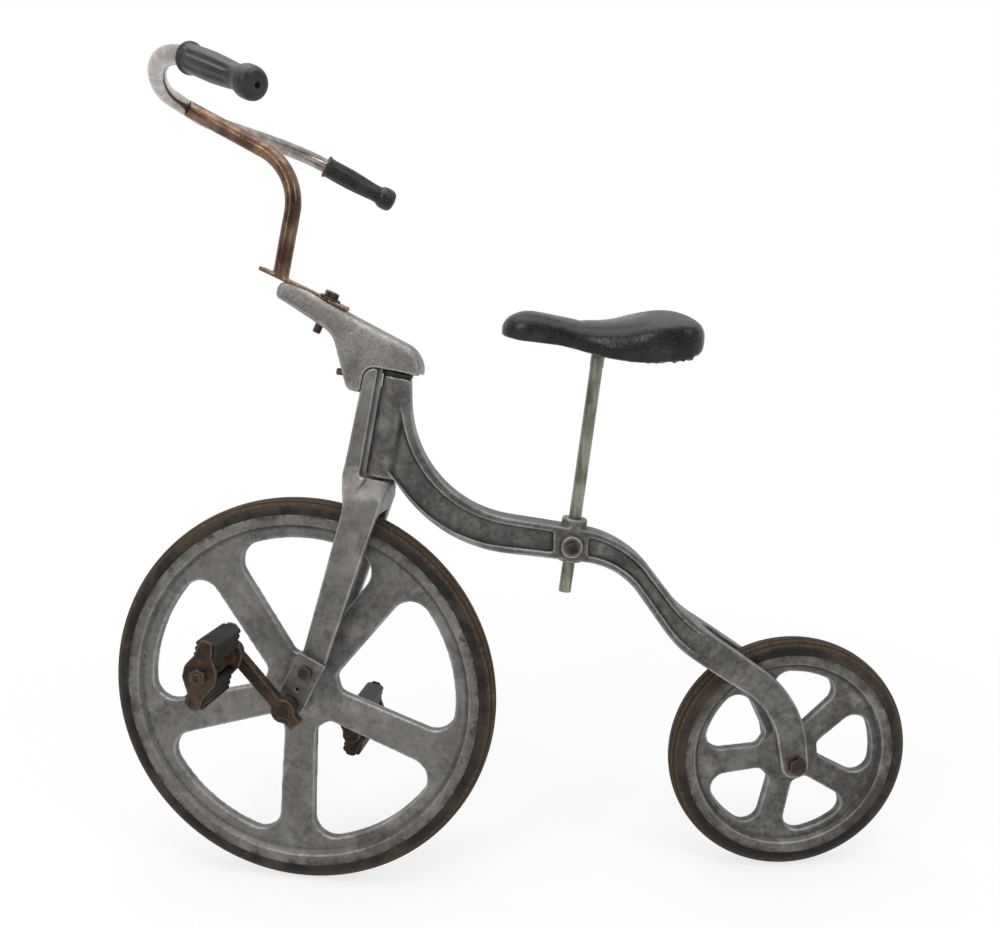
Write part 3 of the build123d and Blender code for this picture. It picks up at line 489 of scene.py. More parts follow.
SADDLE_COVER = saddle_cover()
DULL_STEEL = dull_steel()
FINISH_OF_SLOT = {
    "cast_aluminium": CAST_ALUMINIUM, "solid_tyre": TYRE_RUBBER, "worn_chrome": WORN_CHROME,
    "grip_rubber": GRIP_RUBBER, "pedal_rubber": PEDAL_RUBBER, "saddle_cover": SADDLE_COVER,
    "dull_steel": DULL_STEEL, "rusty_steel": RUSTED_STEEL,
}
for node, solid in frame["nodes"].items():
    for material_slot in solid.material_slots:
        material_slot.material = FINISH_OF_SLOT[SLOT_OF[node]]
print("finishes:", len(FINISH_OF_SLOT), "on nodes:", len(frame["nodes"]))

# %% [markdown]
# ## Soft castings
# A sand casting has no sharp edge anywhere, while its solid does. A bevel on every edge of the solid's
# triangles would break where edges meet, so the copy gets a new even skin by voxel remesh and is then
# smoothed a few times: edges turn round, corners fill, and the size stays. On an even skin it is easy to
# measure how far each point stands out from its neighbours, and that becomes the edge and hollow
# attributes of the finish. Last, the skin is thinned where it is flat, because flats need few triangles.

# %% Pieces, modifiers and edits
def new_piece(name, mesh):
    piece = bpy.data.objects.new(name, mesh)
    bpy.context.collection.objects.link(piece)
    return piece


def modify(piece, name, kind, **settings):
    """Adds a modifier with its settings to a piece."""
    modifier = piece.modifiers.new(name, kind)
    for setting, value in settings.items():
        setattr(modifier, setting, value)
    return modifier


def plain_mesh(piece):
    """Turns a piece with modifiers into the mesh they make."""
    bpy.context.view_layer.update()
    evaluated = piece.evaluated_get(bpy.context.evaluated_depsgraph_get())
    made = bpy.data.meshes.new_from_object(evaluated)
    piece.modifiers.clear()
    piece.data = made


@contextmanager
def edited(mesh):
    """Opens a mesh for editing and writes it back at the end."""
    edit = bmesh.new()
    edit.from_mesh(mesh)
    yield edit
    edit.to_mesh(mesh)
    edit.free()


def tell(piece):
    print(piece.name, "faces:", len(piece.data.polygons))


print("piece helpers ready")

# %% Points and attributes
def points_of(mesh):
    places = np.empty(len(mesh.vertices) * 3, dtype=np.float32)
    mesh.vertices.foreach_get("co", places)
    return places.reshape(-1, 3).astype(float)


def normals_of(mesh):
    ways = np.empty(len(mesh.vertices) * 3, dtype=np.float32)
    mesh.vertices.foreach_get("normal", ways)
    return ways.reshape(-1, 3)


def move_points(mesh, places):
    mesh.vertices.foreach_set("co", np.ascontiguousarray(places, dtype=np.float32).ravel())
    mesh.update()


def set_attribute(mesh, name, values):
    attribute = mesh.attributes.new(name, "FLOAT", "POINT")
    attribute.data.foreach_set("value", np.ascontiguousarray(values, dtype=np.float32))


print("point helpers ready")

# %% Edges and hollows
NOT_ZERO = 1e-14


def measure_edges(mesh, radius, rounds=2):
    """Adds the edge and hollow attributes: 1 where the skin bends as tightly as the radius."""
    place, normal = points_of(mesh), normals_of(mesh).astype(float)
    count = len(place)
    ends = np.empty(len(mesh.edges) * 2, dtype=np.int64)
    mesh.edges.foreach_get("vertices", ends)
    ends = ends.reshape(-1, 2)
    first, second = ends.T
    step = place[second] - place[first]
    length = np.maximum((step ** 2).sum(1), NOT_ZERO)
    valence = np.maximum(np.bincount(ends.ravel(), minlength=count), 1)
    bend = np.bincount(first, -2 * (normal[first] * step).sum(1) / length, count)
    bend += np.bincount(second, 2 * (normal[second] * step).sum(1) / length, count)
    bend /= valence
    for _ in range(rounds):
        spread = np.bincount(first, bend[second], count) + np.bincount(second, bend[first], count)
        bend = 0.5 * bend + 0.5 * spread / valence
    set_attribute(mesh, "edge", np.clip(bend * radius, 0, 1))
    set_attribute(mesh, "hollow", np.clip(-bend * radius, 0, 1))


print("edge helper ready")

# %% Soft copies of nodes
JOIN_DISTANCE = 1e-6
GRIME_REACH = 0.022
KEPT_SHARE = 0.42


def dress(piece, nodes, material):
    """Gives a piece its finish, and lets it stand for CAD nodes and move with their body."""
    piece.data.materials.clear()
    piece.data.materials.append(material)
    for face in piece.data.polygons:
        face.use_smooth = True
    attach(piece, BODY_OF[nodes[0]])
    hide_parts(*nodes)
    return piece


def joined_copy(node):
    """Copy of a CAD node's mesh with its loose triangles joined."""
    mesh = frame["nodes"][node].data.copy()
    with edited(mesh) as edit:
        bmesh.ops.remove_doubles(edit, verts=edit.verts, dist=JOIN_DISTANCE)
    return mesh


def ramp(value, start, end):
    """Straight step from 0 at the start to 1 at the end, which may be the smaller of the two."""
    return np.clip((value - start) / (end - start), 0, 1)


def mark_grime(mesh, joint):
    """Adds the grime attribute to a wheel: 1 at its rim, and 0 from a little further in."""
    arms = points_of(mesh) - np.array(JOINTS[joint]["pos_m"])
    axis = np.array(JOINTS[joint]["axis"])
    reach = np.linalg.norm(arms - np.outer(arms @ axis, axis), axis=1)
    set_attribute(mesh, "grime", ramp(reach, reach.max() - GRIME_REACH, reach.max()))


def soft_casting(node, voxel, rounds, radius, tone=0.0, reshape=None, material=None, joint=None):
    """Copy of a node with a new even skin, soft edges, and the attributes that its finish reads."""
    piece = new_piece(f"soft_{node}", joined_copy(node))
    modify(piece, "skin", "REMESH", mode="VOXEL", voxel_size=voxel)
    modify(piece, "soften", "SMOOTH", iterations=rounds)
    plain_mesh(piece)
    if reshape:
        reshape(piece.data)
        modify(piece, "settle", "SMOOTH", iterations=rounds)
        plain_mesh(piece)
    measure_edges(piece.data, radius)
    set_attribute(piece.data, "tone", np.full(len(piece.data.vertices), tone))
    if joint:
        mark_grime(piece.data, joint)
    modify(piece, "thin", "DECIMATE", ratio=KEPT_SHARE)
    plain_mesh(piece)
    return dress(piece, [node], material or FINISH_OF_SLOT[SLOT_OF[node]])


print("share of the triangles kept:", KEPT_SHARE)

# %% [markdown]
# The neck is shaped like a small horse saddle: its back is crowned across, so its flanks roll over into
# the top. The solid has only a narrow round there. In the neck's own frame, with the steering straight,
# every point is lowered by how far out it is, most at the top and not at all at the foot, and the flat
# back becomes a dome.

# %% Crown across the neck
STEER_REST = math.radians(-12)
STEER_PIVOT = Vector(JOINTS["steering"]["pos_m"])
STEER_AXIS = Vector(JOINTS["steering"]["axis"])
TO_PIVOT = Matrix.Translation(STEER_PIVOT)
STEER_STRAIGHT = TO_PIVOT @ Matrix.Rotation(-STEER_REST, 4, STEER_AXIS) @ TO_PIVOT.inverted()
CROWN_ROUND = 0.011
CROWN_DEPTH = 0.03
CROWN_FADE = 1.5
COLUMN_WIDTH = 0.002
COLUMNS_EVENED = 5
STEEPEST = 0.99


def crown_across(mesh):
    """Domes the neck's back: lowers a point by how far out it is, and less the deeper it is."""
    mesh.transform(STEER_STRAIGHT)
    places = points_of(mesh)
    columns = np.round((places[:, 0] - places[:, 0].min()) / COLUMN_WIDTH).astype(int)
    tops = np.full(columns.max() + 1, -np.inf)
    np.maximum.at(tops, columns, places[:, 2])
    tops = np.pad(tops, COLUMNS_EVENED // 2, mode="edge")
    tops = np.convolve(tops, np.ones(COLUMNS_EVENED) / COLUMNS_EVENED, mode="valid")
    under = np.clip((tops[columns] - places[:, 2]) / CROWN_DEPTH, 0, 1)
    sideways = np.abs(places[:, 1])
    out = np.clip(sideways - (sideways.max() - CROWN_ROUND), 0, CROWN_ROUND * STEEPEST)
    places[:, 2] -= (CROWN_ROUND - np.sqrt(CROWN_ROUND ** 2 - out ** 2)) * (1 - under) ** CROWN_FADE
    move_points(mesh, places)
    mesh.transform(STEER_STRAIGHT.inverted())


print("crown across the neck, mm:", CROWN_ROUND / MILLIMETRE)

# %% Castings with soft edges
# Columns: node, voxel size and smoothing rounds, bend radius that counts as sharp, tone, what else it needs
CASTINGS = [
    ("frame_spine", 0.0012, 8, 0.004, -0.03, {}),
    ("fork", 0.0012, 8, 0.004, 0.09, {}),
    ("bearing_cap_left", 0.0007, 4, 0.002, 0.04, {}),
    ("bearing_cap_right", 0.0007, 4, 0.002, 0.04, {}),
    ("neck", 0.001, 8, 0.005, 0.14, {"reshape": crown_across, "material": PITTED_ALUMINIUM}),
    ("front_wheel", 0.0015, 9, 0.004, 0.05, {"joint": "front_wheel_spin"}),
    ("rear_wheel", 0.0012, 9, 0.004, -0.01, {"joint": "rear_wheel_spin"}),
]
for node, voxel, rounds, radius, tone, needs in CASTINGS:
    casting = soft_casting(node, voxel, rounds, radius, tone, **needs)
    tell(casting)

# %% [markdown]
# ## Washer in the head
# Between the head and the neck that turns on it lies a steel washer with a skirt that reaches down round
# the pin. Its near-black finish is painted shade: it shows as a dark line, and as a dark corner where the
# head is cut away, where the gap would be in shade. It is turned: an outline of six points round the
# steering axis, closed into a ring that is smaller than the fork's strap, so nothing touches it on any turn.

# %% Washer under the neck
# Outline of the washer round the steering axis: radius and height, in metres
WASHER_OUTLINE = [
    (0.0056, 0.105), (0.0056, 0.082), (0.0136, 0.082), (0.0136, 0.1014), (0.0152, 0.1014), (0.0152, 0.105),
]
WASHER_SIDES = 64
FULL_TURN = 2 * math.pi
WASHER_BEVEL = 0.0003


def turned_ring(name, outline, sides, place):
    """Ring made by turning a closed outline round the z axis, then moved to its place."""
    mesh = bpy.data.meshes.new(name)
    with edited(mesh) as edit:
        rings = []
        for step in range(sides):
            turn = FULL_TURN * step / sides
            across, along = math.cos(turn), math.sin(turn)
            rings.append([edit.verts.new((reach * across, reach * along, high)) for reach, high in outline])
        for ring, after in zip(rings, rings[1:] + rings[:1]):
            for corner in range(len(outline)):
                onward = (corner + 1) % len(outline)
                edit.faces.new((ring[corner], after[corner], after[onward], ring[onward]))
        bmesh.ops.bevel(edit, geom=edit.edges[:], offset=WASHER_BEVEL, segments=1, affect="EDGES",
                        clamp_overlap=True)
        bmesh.ops.recalc_face_normals(edit, faces=edit.faces)
        bmesh.ops.transform(edit, matrix=place, verts=edit.verts)
    return new_piece(name, mesh)


STEER_FRAME = TO_PIVOT @ STEER_AXIS.to_track_quat("Z", "Y").to_matrix().to_4x4()
washer = turned_ring("head_washer", WASHER_OUTLINE, WASHER_SIDES, STEER_FRAME)
# Near-black finish: painted shade in the gap between head and neck.
washer.data.materials.append(WASHER_SHADE_STEEL)
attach(washer, "frame")
tell(washer)

# %% [markdown]
# ## Steel and pedal rubber
# The stem, cranks, pedal plates, bolts and nuts were forged, cut or pressed, and rust has eaten their
# corners. The same even skin at a finer voxel rounds them and gives each its own edge attribute, so the
# rust can wear bright there. The pedal blocks are moulded, with grooves for the foot, and a finer skin
# keeps those.

# %% Steel pieces and pedal blocks
STEEL_EDGE = 0.003
STEM_VOXEL = 0.001
STEM_ROUNDS = 5
# Columns: node, voxel size in metres, smoothing rounds
STEEL = [
    ("stem_clamp_bolt", 0.0005, 3), ("stem_clamp_washer", 0.0004, 2), ("neck_bolt", 0.0005, 3),
    ("rear_axle_bolt", 0.0006, 3), ("rear_axle_nut", 0.0006, 3), ("seat_post_screw", 0.0005, 3),
]
for side in ("left", "right"):
    STEEL += [
        (f"crank_{side}", 0.0008, 4), (f"pedal_cage_{side}", 0.0009, 2), (f"spindle_nut_{side}", 0.0005, 3),
        (f"bearing_cap_bolt_{side}", 0.0005, 3), (f"pedal_rubber_upper_{side}", 0.0008, 4),
        (f"pedal_rubber_lower_{side}", 0.0008, 4),
    ]
for node, voxel, rounds in STEEL:
    piece = soft_casting(node, voxel, rounds, STEEL_EDGE)
    tell(piece)
stem = soft_casting("handlebar_stem", STEM_VOXEL, STEM_ROUNDS, STEEL_EDGE, material=BROWNED_TUBE)
tell(stem)

# %% [markdown]
# ## Handlebar
# One tube, bent in a single easy sweep from the stem to each grip. A Bezier curve draws such a line best:
# its handles set how long the tube keeps each direction, so the bend tightens and opens without a corner.
# A round bevel along the curve makes the tube.

# %% Handlebar along a Bezier curve
BAR_RADIUS = 0.0079
BAR_STEPS = 40
BAR_BEVEL_STEPS = 10
# Points from the left grip's end to the right one's, each with the handle before it and the handle after it
BAR_POINTS = [
    ((0.29354, 0.19051, 0.17331), (0.27, 0.211, 0.1617), (0.314, 0.1726, 0.1834)),
    ((0.35212, 0.1393, 0.20221), (0.333, 0.156, 0.1928), (0.38874, 0.10727, 0.22029)),
    ((0.41092, -0.01885, 0.20461), (0.41513, 0.02445, 0.20872), (0.40676, -0.04171, 0.20246)),
    ((0.39844, -0.08744, 0.19815), (0.4026, -0.06458, 0.2003), (0.38713, -0.12947, 0.19422)),
    ((0.28824, -0.21189, 0.16912), (0.33312, -0.1985, 0.19148), (0.2643, -0.219, 0.1572)),
    ((0.21646, -0.23329, 0.13337), (0.2404, -0.2261, 0.1453), (0.1887, -0.2416, 0.1196)),
]


def swept_tube(name, points, radius):
    """Tube along a Bezier curve, as a mesh with its ends closed."""
    line = bpy.data.curves.new(name, "CURVE")
    line.dimensions = "3D"
    line.resolution_u = BAR_STEPS
    line.bevel_depth = radius
    line.bevel_resolution = BAR_BEVEL_STEPS
    line.use_fill_caps = True
    spline = line.splines.new("BEZIER")
    spline.bezier_points.add(len(points) - 1)
    for point, (place, before, after) in zip(spline.bezier_points, points):
        point.co, point.handle_left, point.handle_right = place, before, after
    guide = new_piece(f"{name}_line", line)
    bpy.context.view_layer.update()
    mesh = bpy.data.meshes.new_from_object(guide.evaluated_get(bpy.context.evaluated_depsgraph_get()))
    bpy.data.objects.remove(guide)
    with edited(mesh) as edit:
        bmesh.ops.remove_doubles(edit, verts=edit.verts, dist=JOIN_DISTANCE)
        bmesh.ops.recalc_face_normals(edit, faces=edit.faces)
    return new_piece(name, mesh)


bar = dress(swept_tube("swept_handlebar", BAR_POINTS, BAR_RADIUS), ["handlebar"], WORN_CHROME)
tell(bar)

# %% [markdown]
# ## Ribbed tyres
# A tyre is a rule: one section carried round a circle, with a few ribs that run round the tread. Geometry
# Nodes bend a flat grid into that ring. One way across the grid goes round the wheel and the other round
# the section, a rounded oval that is tall outside the rim and short inside it. A cosine round the section
# cuts the grooves. The tree also stores how far a point is on the tread and how deep in a groove, for the
# dust and the painted shade in the grooves in the finish.

# %% Helpers for trees of Geometry Nodes
SEAM_DISTANCE = 0.00002


def start_tree(name, sizes):
    """New tree with a named input for each size; returns the tree and the inputs as wires."""
    tree = bpy.data.node_groups.new(name, "GeometryNodeTree")
    for size in sizes:
        tree.interface.new_socket(name=size, in_out="INPUT", socket_type="NodeSocketFloat")
    tree.interface.new_socket(name="Geometry", in_out="OUTPUT", socket_type="NodeSocketGeometry")
    entry = tree.nodes.new("NodeGroupInput")
    return tree, {size: Wire(tree, entry.outputs[size]) for size in sizes}


def unit_grid(wire, columns, rows):
    """Flat grid, and how far a point is along it and across it, from 0 to 1."""
    grid = wire.node("GeometryNodeMeshGrid", {}, {"Size X": 1.0, "Size Y": 1.0, "Vertices X": columns,
                                                  "Vertices Y": rows})
    place = wire.node("GeometryNodeInputPosition")
    along = place.node("ShaderNodeSeparateXYZ", {}, {"Vector": place})
    return grid, along + 0.5, along.output(1) + 0.5


def keep_value(mesh, name, value):
    """Stores a value on the points of a mesh, under a name that a finish can read."""
    return mesh.node("GeometryNodeStoreNamedAttribute", {"data_type": "FLOAT", "domain": "POINT"},
                     {"Geometry": mesh, "Name": name, "Value": value})


def bend_grid(mesh, x, y, z, material):
    """Moves the grid's points to their places, closes its seams and ends the tree."""
    place = x.node("ShaderNodeCombineXYZ", {}, {"X": x, "Y": y, "Z": z})
    bent = mesh.node("GeometryNodeSetPosition", {}, {"Geometry": mesh, "Position": place})
    closed = bent.node("GeometryNodeMergeByDistance", {}, {"Geometry": bent, "Distance": SEAM_DISTANCE})
    real = closed.node("GeometryNodeRealizeInstances", {}, {"Geometry": closed})
    finished = real.node("GeometryNodeSetMaterial", {}, {"Geometry": real, "Material": material})
    finished.node("NodeGroupOutput", {}, {"Geometry": finished})


def grown(name, tree, values, place):
    """Runs a tree with its sizes, and leaves a plain mesh at its place with faces outwards."""
    piece = new_piece(name, bpy.data.meshes.new(name))
    nodes = modify(piece, "nodes", "NODES", node_group=tree)
    for item in tree.interface.items_tree:
        if item.in_out == "INPUT":
            nodes[item.identifier] = values[item.name]
    plain_mesh(piece)
    with edited(piece.data) as edit:
        bmesh.ops.transform(edit, matrix=place, verts=edit.verts)
        bmesh.ops.recalc_face_normals(edit, faces=edit.faces)
    return piece


print("tree helpers ready")

# %% Tyre tree
# Points round the wheel and round the section, and how square the section's walls and tread are
TYRE_GRID = (361, 121)
WALL_POWER = 0.8
TREAD_POWER = 0.95
# Where up the section the tread begins, and where on the cosine a groove does
TREAD_SPAN = (0.3, 0.6)
GROOVE_SPAN = (0.3, 0.8)


def signed_power(wire, power):
    """Raises the size of a value to a power and keeps its sign, which squares up a circle."""
    return wire.maths("SIGN", wire, 0) * wire.maths("ABSOLUTE", wire, 0) ** power


def tyre_tree():
    tree, size = start_tree("ribbed_tyre", ("Radius", "Width", "Height", "Root", "Groove Depth", "Grooves"))
    grid, around, section = unit_grid(size["Radius"], *TYRE_GRID)
    turn = around * FULL_TURN
    bend = section * FULL_TURN
    across = size["Width"] * signed_power(bend.maths("COSINE", bend, 0), WALL_POWER) * 0.5
    up = signed_power(bend.maths("SINE", bend, 0), TREAD_POWER)
    out = up.maths("MAXIMUM", up, 0) * size["Height"] + up.maths("MINIMUM", up, 0) * size["Root"]
    crown = rise(up, *TREAD_SPAN)
    wave = bend * size["Grooves"]
    groove = rise(wave.maths("COSINE", wave, 0), *GROOVE_SPAN) * crown
    radius = size["Radius"] - size["Height"] + out - groove * size["Groove Depth"]
    mesh = keep_value(keep_value(grid, "crown", crown), "groove", groove)
    ahead = radius * turn.maths("COSINE", turn, 0)
    high = radius * turn.maths("SINE", turn, 0)
    bend_grid(mesh, ahead, across, high, TYRE_RUBBER)
    return tree


TYRE_TREE = tyre_tree()
print("tyre tree nodes:", len(TYRE_TREE.nodes))

# %% Both tyres
# Sizes in metres, apart from the number of grooves in a full turn round the section
TYRE = {"Width": 0.0268, "Height": 0.0128, "Root": 0.007, "Groove Depth": 0.0009, "Grooves": 14.0}
# Columns: node, joint that the wheel turns on, outer radius in metres
TYRES = [("front_tyre", "front_wheel_spin", 0.203), ("rear_tyre", "rear_wheel_spin", 0.128)]
for node, joint, radius in TYRES:
    turn = Vector((0, 1, 0)).rotation_difference(Vector(JOINTS[joint]["axis"])).to_matrix().to_4x4()
    place = Matrix.Translation(JOINTS[joint]["pos_m"]) @ turn
    tyre = dress(grown(f"ribbed_{node}", TYRE_TREE, {**TYRE, "Radius": radius}, place), [node], TYRE_RUBBER)
    tell(tyre)

# %% [markdown]
# ## Fluted grips
# A grip is moulded rubber: a flange towards the bar's middle, a fluted handle that narrows, and a bulb
# with a small air hole in its end. It is another bent grid. Two Float Curve nodes hold the outline, one
# for the place along the grip and one for the radius, both over the distance walked along the outline.

# %% Grip tree
# Outline of a grip from the bar out: place along it and radius, in millimetres
GRIP_OUTLINE = [
    (0.6, 7.9), (0, 8.6), (0, 12.0), (0.7, 12.7), (2.3, 12.7), (3.1, 11.9), (4.4, 11.2), (18, 11.5),
    (32, 11.6), (46, 10.9), (58, 10.0), (65, 9.7), (68.5, 10.0), (71.5, 11.9), (75, 12.8), (80, 12.9),
    (84, 12.2), (86.8, 10.2), (87.8, 7.5), (88, 4.0), (87.8, 2.6), (86.6, 2.1), (81, 2.0), (80.9, 0),
]
GRIP_GRID = (161, 97)
# Where the flutes begin and end: on the cosine, along the grip, and in its radius
FLUTE_SPAN = (-0.2, 1.0)
HANDLE_START = (0.06, 0.16)
HANDLE_END = (0.62, 0.74)
HANDLE_RADIUS = (0.6, 0.7)
GRIP_LENGTH = max(along for along, radius in GRIP_OUTLINE)
GRIP_RADIUS = max(radius for along, radius in GRIP_OUTLINE)


def outline_curves():
    """The grip's outline as two curves over the share of the way along it, each from 0 to 1."""
    steps = [math.dist(start, end) for start, end in zip(GRIP_OUTLINE, GRIP_OUTLINE[1:])]
    walked = [sum(steps[:count]) / sum(steps) for count in range(len(steps) + 1)]
    along = [(share, point[0] / GRIP_LENGTH) for share, point in zip(walked, GRIP_OUTLINE)]
    radius = [(share, point[1] / GRIP_RADIUS) for share, point in zip(walked, GRIP_OUTLINE)]
    return along, radius


def grip_tree():
    tree, size = start_tree("fluted_grip", ("Length", "Radius", "Flutes", "Flute Depth"))
    grid, walked, section = unit_grid(size["Length"], *GRIP_GRID)
    along_curve, radius_curve = outline_curves()
    along = walked.node("ShaderNodeFloatCurve", {"profile": along_curve}, {"Value": walked})
    radius = walked.node("ShaderNodeFloatCurve", {"profile": radius_curve}, {"Value": walked})
    turn = section * FULL_TURN
    ripple = turn * size["Flutes"]
    flute = rise(ripple.maths("COSINE", ripple, 0), *FLUTE_SPAN)
    handle = rise(along, *HANDLE_START) * (1 - rise(along, *HANDLE_END)) * rise(radius, *HANDLE_RADIUS)
    reach = radius * size["Radius"] - flute * handle * size["Flute Depth"]
    across = reach * turn.maths("COSINE", turn, 0)
    high = reach * turn.maths("SINE", turn, 0)
    bend_grid(grid, across, high, along * size["Length"], GRIP_RUBBER)
    return tree


GRIP_TREE = grip_tree()
print("grip tree nodes:", len(GRIP_TREE.nodes))

# %% Both grips and the collar under the saddle
COLLAR_RADIUS = 0.0068
COLLAR_VOXEL = 0.0006
COLLAR_ROUNDS = 2


def turned_place(node, inner):
    """Where a turned piece lies: its inner end at the origin and its axis along z, by its points' spread."""
    points = np.array([vertex.co for vertex in joined_copy(node).vertices])
    middle = points.mean(0)
    axis = np.linalg.svd(points - middle, full_matrices=False)[2][0]
    axis *= np.sign(np.dot(middle - np.array(inner), axis))
    start = middle + axis * ((points - middle) @ axis).min()
    return Matrix.Translation(Vector(start)) @ Vector(axis).to_track_quat("Z", "Y").to_matrix().to_4x4()


def slim_collar(mesh):
    """Draws the socket's outside in to a thin collar on the post."""
    place = turned_place("seat_post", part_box("seat_post")[0])
    mesh.transform(place.inverted())
    places = points_of(mesh)
    reach = np.maximum(np.hypot(places[:, 0], places[:, 1]), NOT_ZERO)
    places[:, :2] *= np.minimum(1, COLLAR_RADIUS / reach)[:, None]
    move_points(mesh, places)
    mesh.transform(place)


collar = soft_casting("saddle_socket", COLLAR_VOXEL, COLLAR_ROUNDS, STEEL_EDGE, reshape=slim_collar)
tell(collar)
BAR_MIDDLE = (Vector(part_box("handlebar")[0]) + Vector(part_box("handlebar")[1])) / 2
GRIP = {
    "Length": GRIP_LENGTH * MILLIMETRE, "Radius": GRIP_RADIUS * MILLIMETRE,
    "Flutes": 7.0, "Flute Depth": 0.0011,
}
for side in ("left", "right"):
    grip = grown(f"fluted_grip_{side}", GRIP_TREE, GRIP, turned_place(f"grip_{side}", BAR_MIDDLE))
    measure_edges(grip.data, STEEL_EDGE)
    dress(grip, [f"grip_{side}"], GRIP_RUBBER)
    tell(grip)

# %% [markdown]
# ## Padded saddle
# The saddle is a steel pan with a stuffed cover. The solid gives the pan's outline and the crown's
# height, but its edges are too sharp. The copy is remeshed and its upper side is smoothed, which also
# shrinks it a little. Then a cloth simulation swells the cover: it is pinned along its underside, where
# the pan is, and blown up by a small pressure. Points that would move too far are held back. At last the
# cover takes the settled shape of an old saddle: sunk at the rear, full at the waist, and tucked under at
# both ends.

# %% Stuffing blown up as cloth
SADDLE_SWELL = 0.005
SADDLE_PRESSURE = 4.0
CLOTH_FRAMES = 20


def swell(piece, pinned):
    """Blows a closed skin up as cloth, with some of its points held."""
    held = piece.vertex_groups.new(name="pan")
    held.add([int(index) for index in np.nonzero(pinned)[0]], 1.0, "REPLACE")
    cloth = piece.modifiers.new("stuffing", "CLOTH")
    cloth.settings.use_pressure = True
    cloth.settings.uniform_pressure_force = SADDLE_PRESSURE
    cloth.settings.vertex_group_mass = "pan"
    cloth.settings.effector_weights.gravity = 0
    scene = bpy.context.scene
    for step in range(1, CLOTH_FRAMES + 1):
        scene.frame_set(step)
    start = points_of(piece.data)
    blown = piece.evaluated_get(bpy.context.evaluated_depsgraph_get())
    move = points_of(blown.data) - start
    far = np.maximum(np.linalg.norm(move, axis=1, keepdims=True), NOT_ZERO)
    piece.modifiers.clear()
    scene.frame_set(1)
    move_points(piece.data, start + move * np.minimum(1, SADDLE_SWELL / far))


print("cloth frames:", CLOTH_FRAMES)

# %% Settled stuffing
# Where along the saddle, from 0 at the tail to 1 at the nose, the settled places begin and end
REAR_SPAN = (0.5, 0.25)
NOSE_SPAN = (0.7, 0.9)
TAIL_SPAN = (0.14, 0)
WAIST_AT = 0.56
WAIST_REACH = 0.14
# How far they settle, in metres
REAR_SINK = 0.0045
WAIST_RISE = 0.0028
NOSE_DEPTH = 0.0045
TAIL_TUCK = 0.005
END_TUCK = 0.0045


def shares_of(places):
    """How far each point is along, across and up the box of them all, from 0 to 1."""
    low, high = places.min(0), places.max(0)
    return (places - low) / (high - low)


def fill_box(mesh, box):
    """Stretches a mesh a little, so that it fills the box of the solid that it stands for."""
    low, high = np.array(box[0]), np.array(box[1])
    move_points(mesh, low + shares_of(points_of(mesh)) * (high - low))


def settle_stuffing(mesh):
    """Lets the stuffing sink at the rear and rise at the waist, and tucks the cover under at both ends."""
    places = points_of(mesh)
    share = shares_of(places)
    ahead, up = share[:, 0], share[:, 2]
    waist = np.exp(-((ahead - WAIST_AT) / WAIST_REACH) ** 2)
    above = WAIST_RISE * waist - REAR_SINK * ramp(ahead, *REAR_SPAN)
    below = TAIL_TUCK * ramp(ahead, *TAIL_SPAN) ** 2 - NOSE_DEPTH * ramp(ahead, *NOSE_SPAN)
    places[:, 2] += up * above + (1 - up) * below
    places[:, 0] += END_TUCK * (1 - 2 * ahead)
    move_points(mesh, places)


print("drawn in at each end, mm:", END_TUCK / MILLIMETRE)

# %% Saddle cover by cloth simulation
SADDLE_VOXEL = 0.0042
SADDLE_ROUNDS = 34
SADDLE_LEVELS = 2
# How far up a face looks: held below the first, softened above the second, pinned below the third
STIFF_BELOW = -0.75
SOFT_ABOVE = -0.25
PINNED_BELOW = -0.5


def padded_saddle():
    """The saddle's skin: remeshed, softened, blown up, smoothed and settled."""
    piece = new_piece("padded_saddle", joined_copy("saddle"))
    modify(piece, "skin", "REMESH", mode="VOXEL", voxel_size=SADDLE_VOXEL)
    plain_mesh(piece)
    upper = piece.vertex_groups.new(name="upper")
    for index, way in enumerate(normals_of(piece.data)):
        upper.add([index], float(ramp(way[2], STIFF_BELOW, SOFT_ABOVE)), "REPLACE")
    modify(piece, "soften", "SMOOTH", iterations=SADDLE_ROUNDS, vertex_group="upper")
    plain_mesh(piece)
    swell(piece, normals_of(piece.data)[:, 2] < PINNED_BELOW)
    modify(piece, "finer", "SUBSURF", levels=SADDLE_LEVELS, render_levels=SADDLE_LEVELS)
    plain_mesh(piece)
    fill_box(piece.data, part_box("saddle"))
    settle_stuffing(piece.data)
    return piece


SADDLE = padded_saddle()
tell(SADDLE)

# %% [markdown]
# The cover is worn at the rear: its top is scuffed grey and its lower edge has frayed. An attribute marks
# both places, from a point's place and the way it faces.

# %% Worn places of the saddle
# Shares of the saddle's length and height, and how far up a face looks, where wear begins and is full
RUBBED_SPAN = (0.42, 0.22)
HEM_SPAN = (0.24, 0.12)
TOP_SPAN = (0.35, 0.75)
HEM_WEAR = 0.45
FRAY_SCALE = 190
FRAY_DEPTH = 0.0032


def mark_rubbed(piece):
    """Adds the rubbed attribute and lets the hem hang in small rags."""
    places, ways = points_of(piece.data), normals_of(piece.data)
    share = shares_of(places)
    rear = ramp(share[:, 0], *RUBBED_SPAN)
    hem = ramp(share[:, 2], *HEM_SPAN) * rear
    set_attribute(piece.data, "rubbed", np.maximum(rear * ramp(ways[:, 2], *TOP_SPAN), hem * HEM_WEAR))
    rags = np.array([max(0.0, random_swell.noise(Vector(place) * FRAY_SCALE)) for place in places])
    places[:, 2] -= FRAY_DEPTH * rags * hem
    move_points(piece.data, places)


mark_rubbed(SADDLE)
dress(SADDLE, ["saddle"], SADDLE_COVER)
rubbed = [item.value > 0.5 for item in SADDLE.data.attributes["rubbed"].data]
print("saddle rubbed share:", round(float(np.mean(rubbed)), 2))

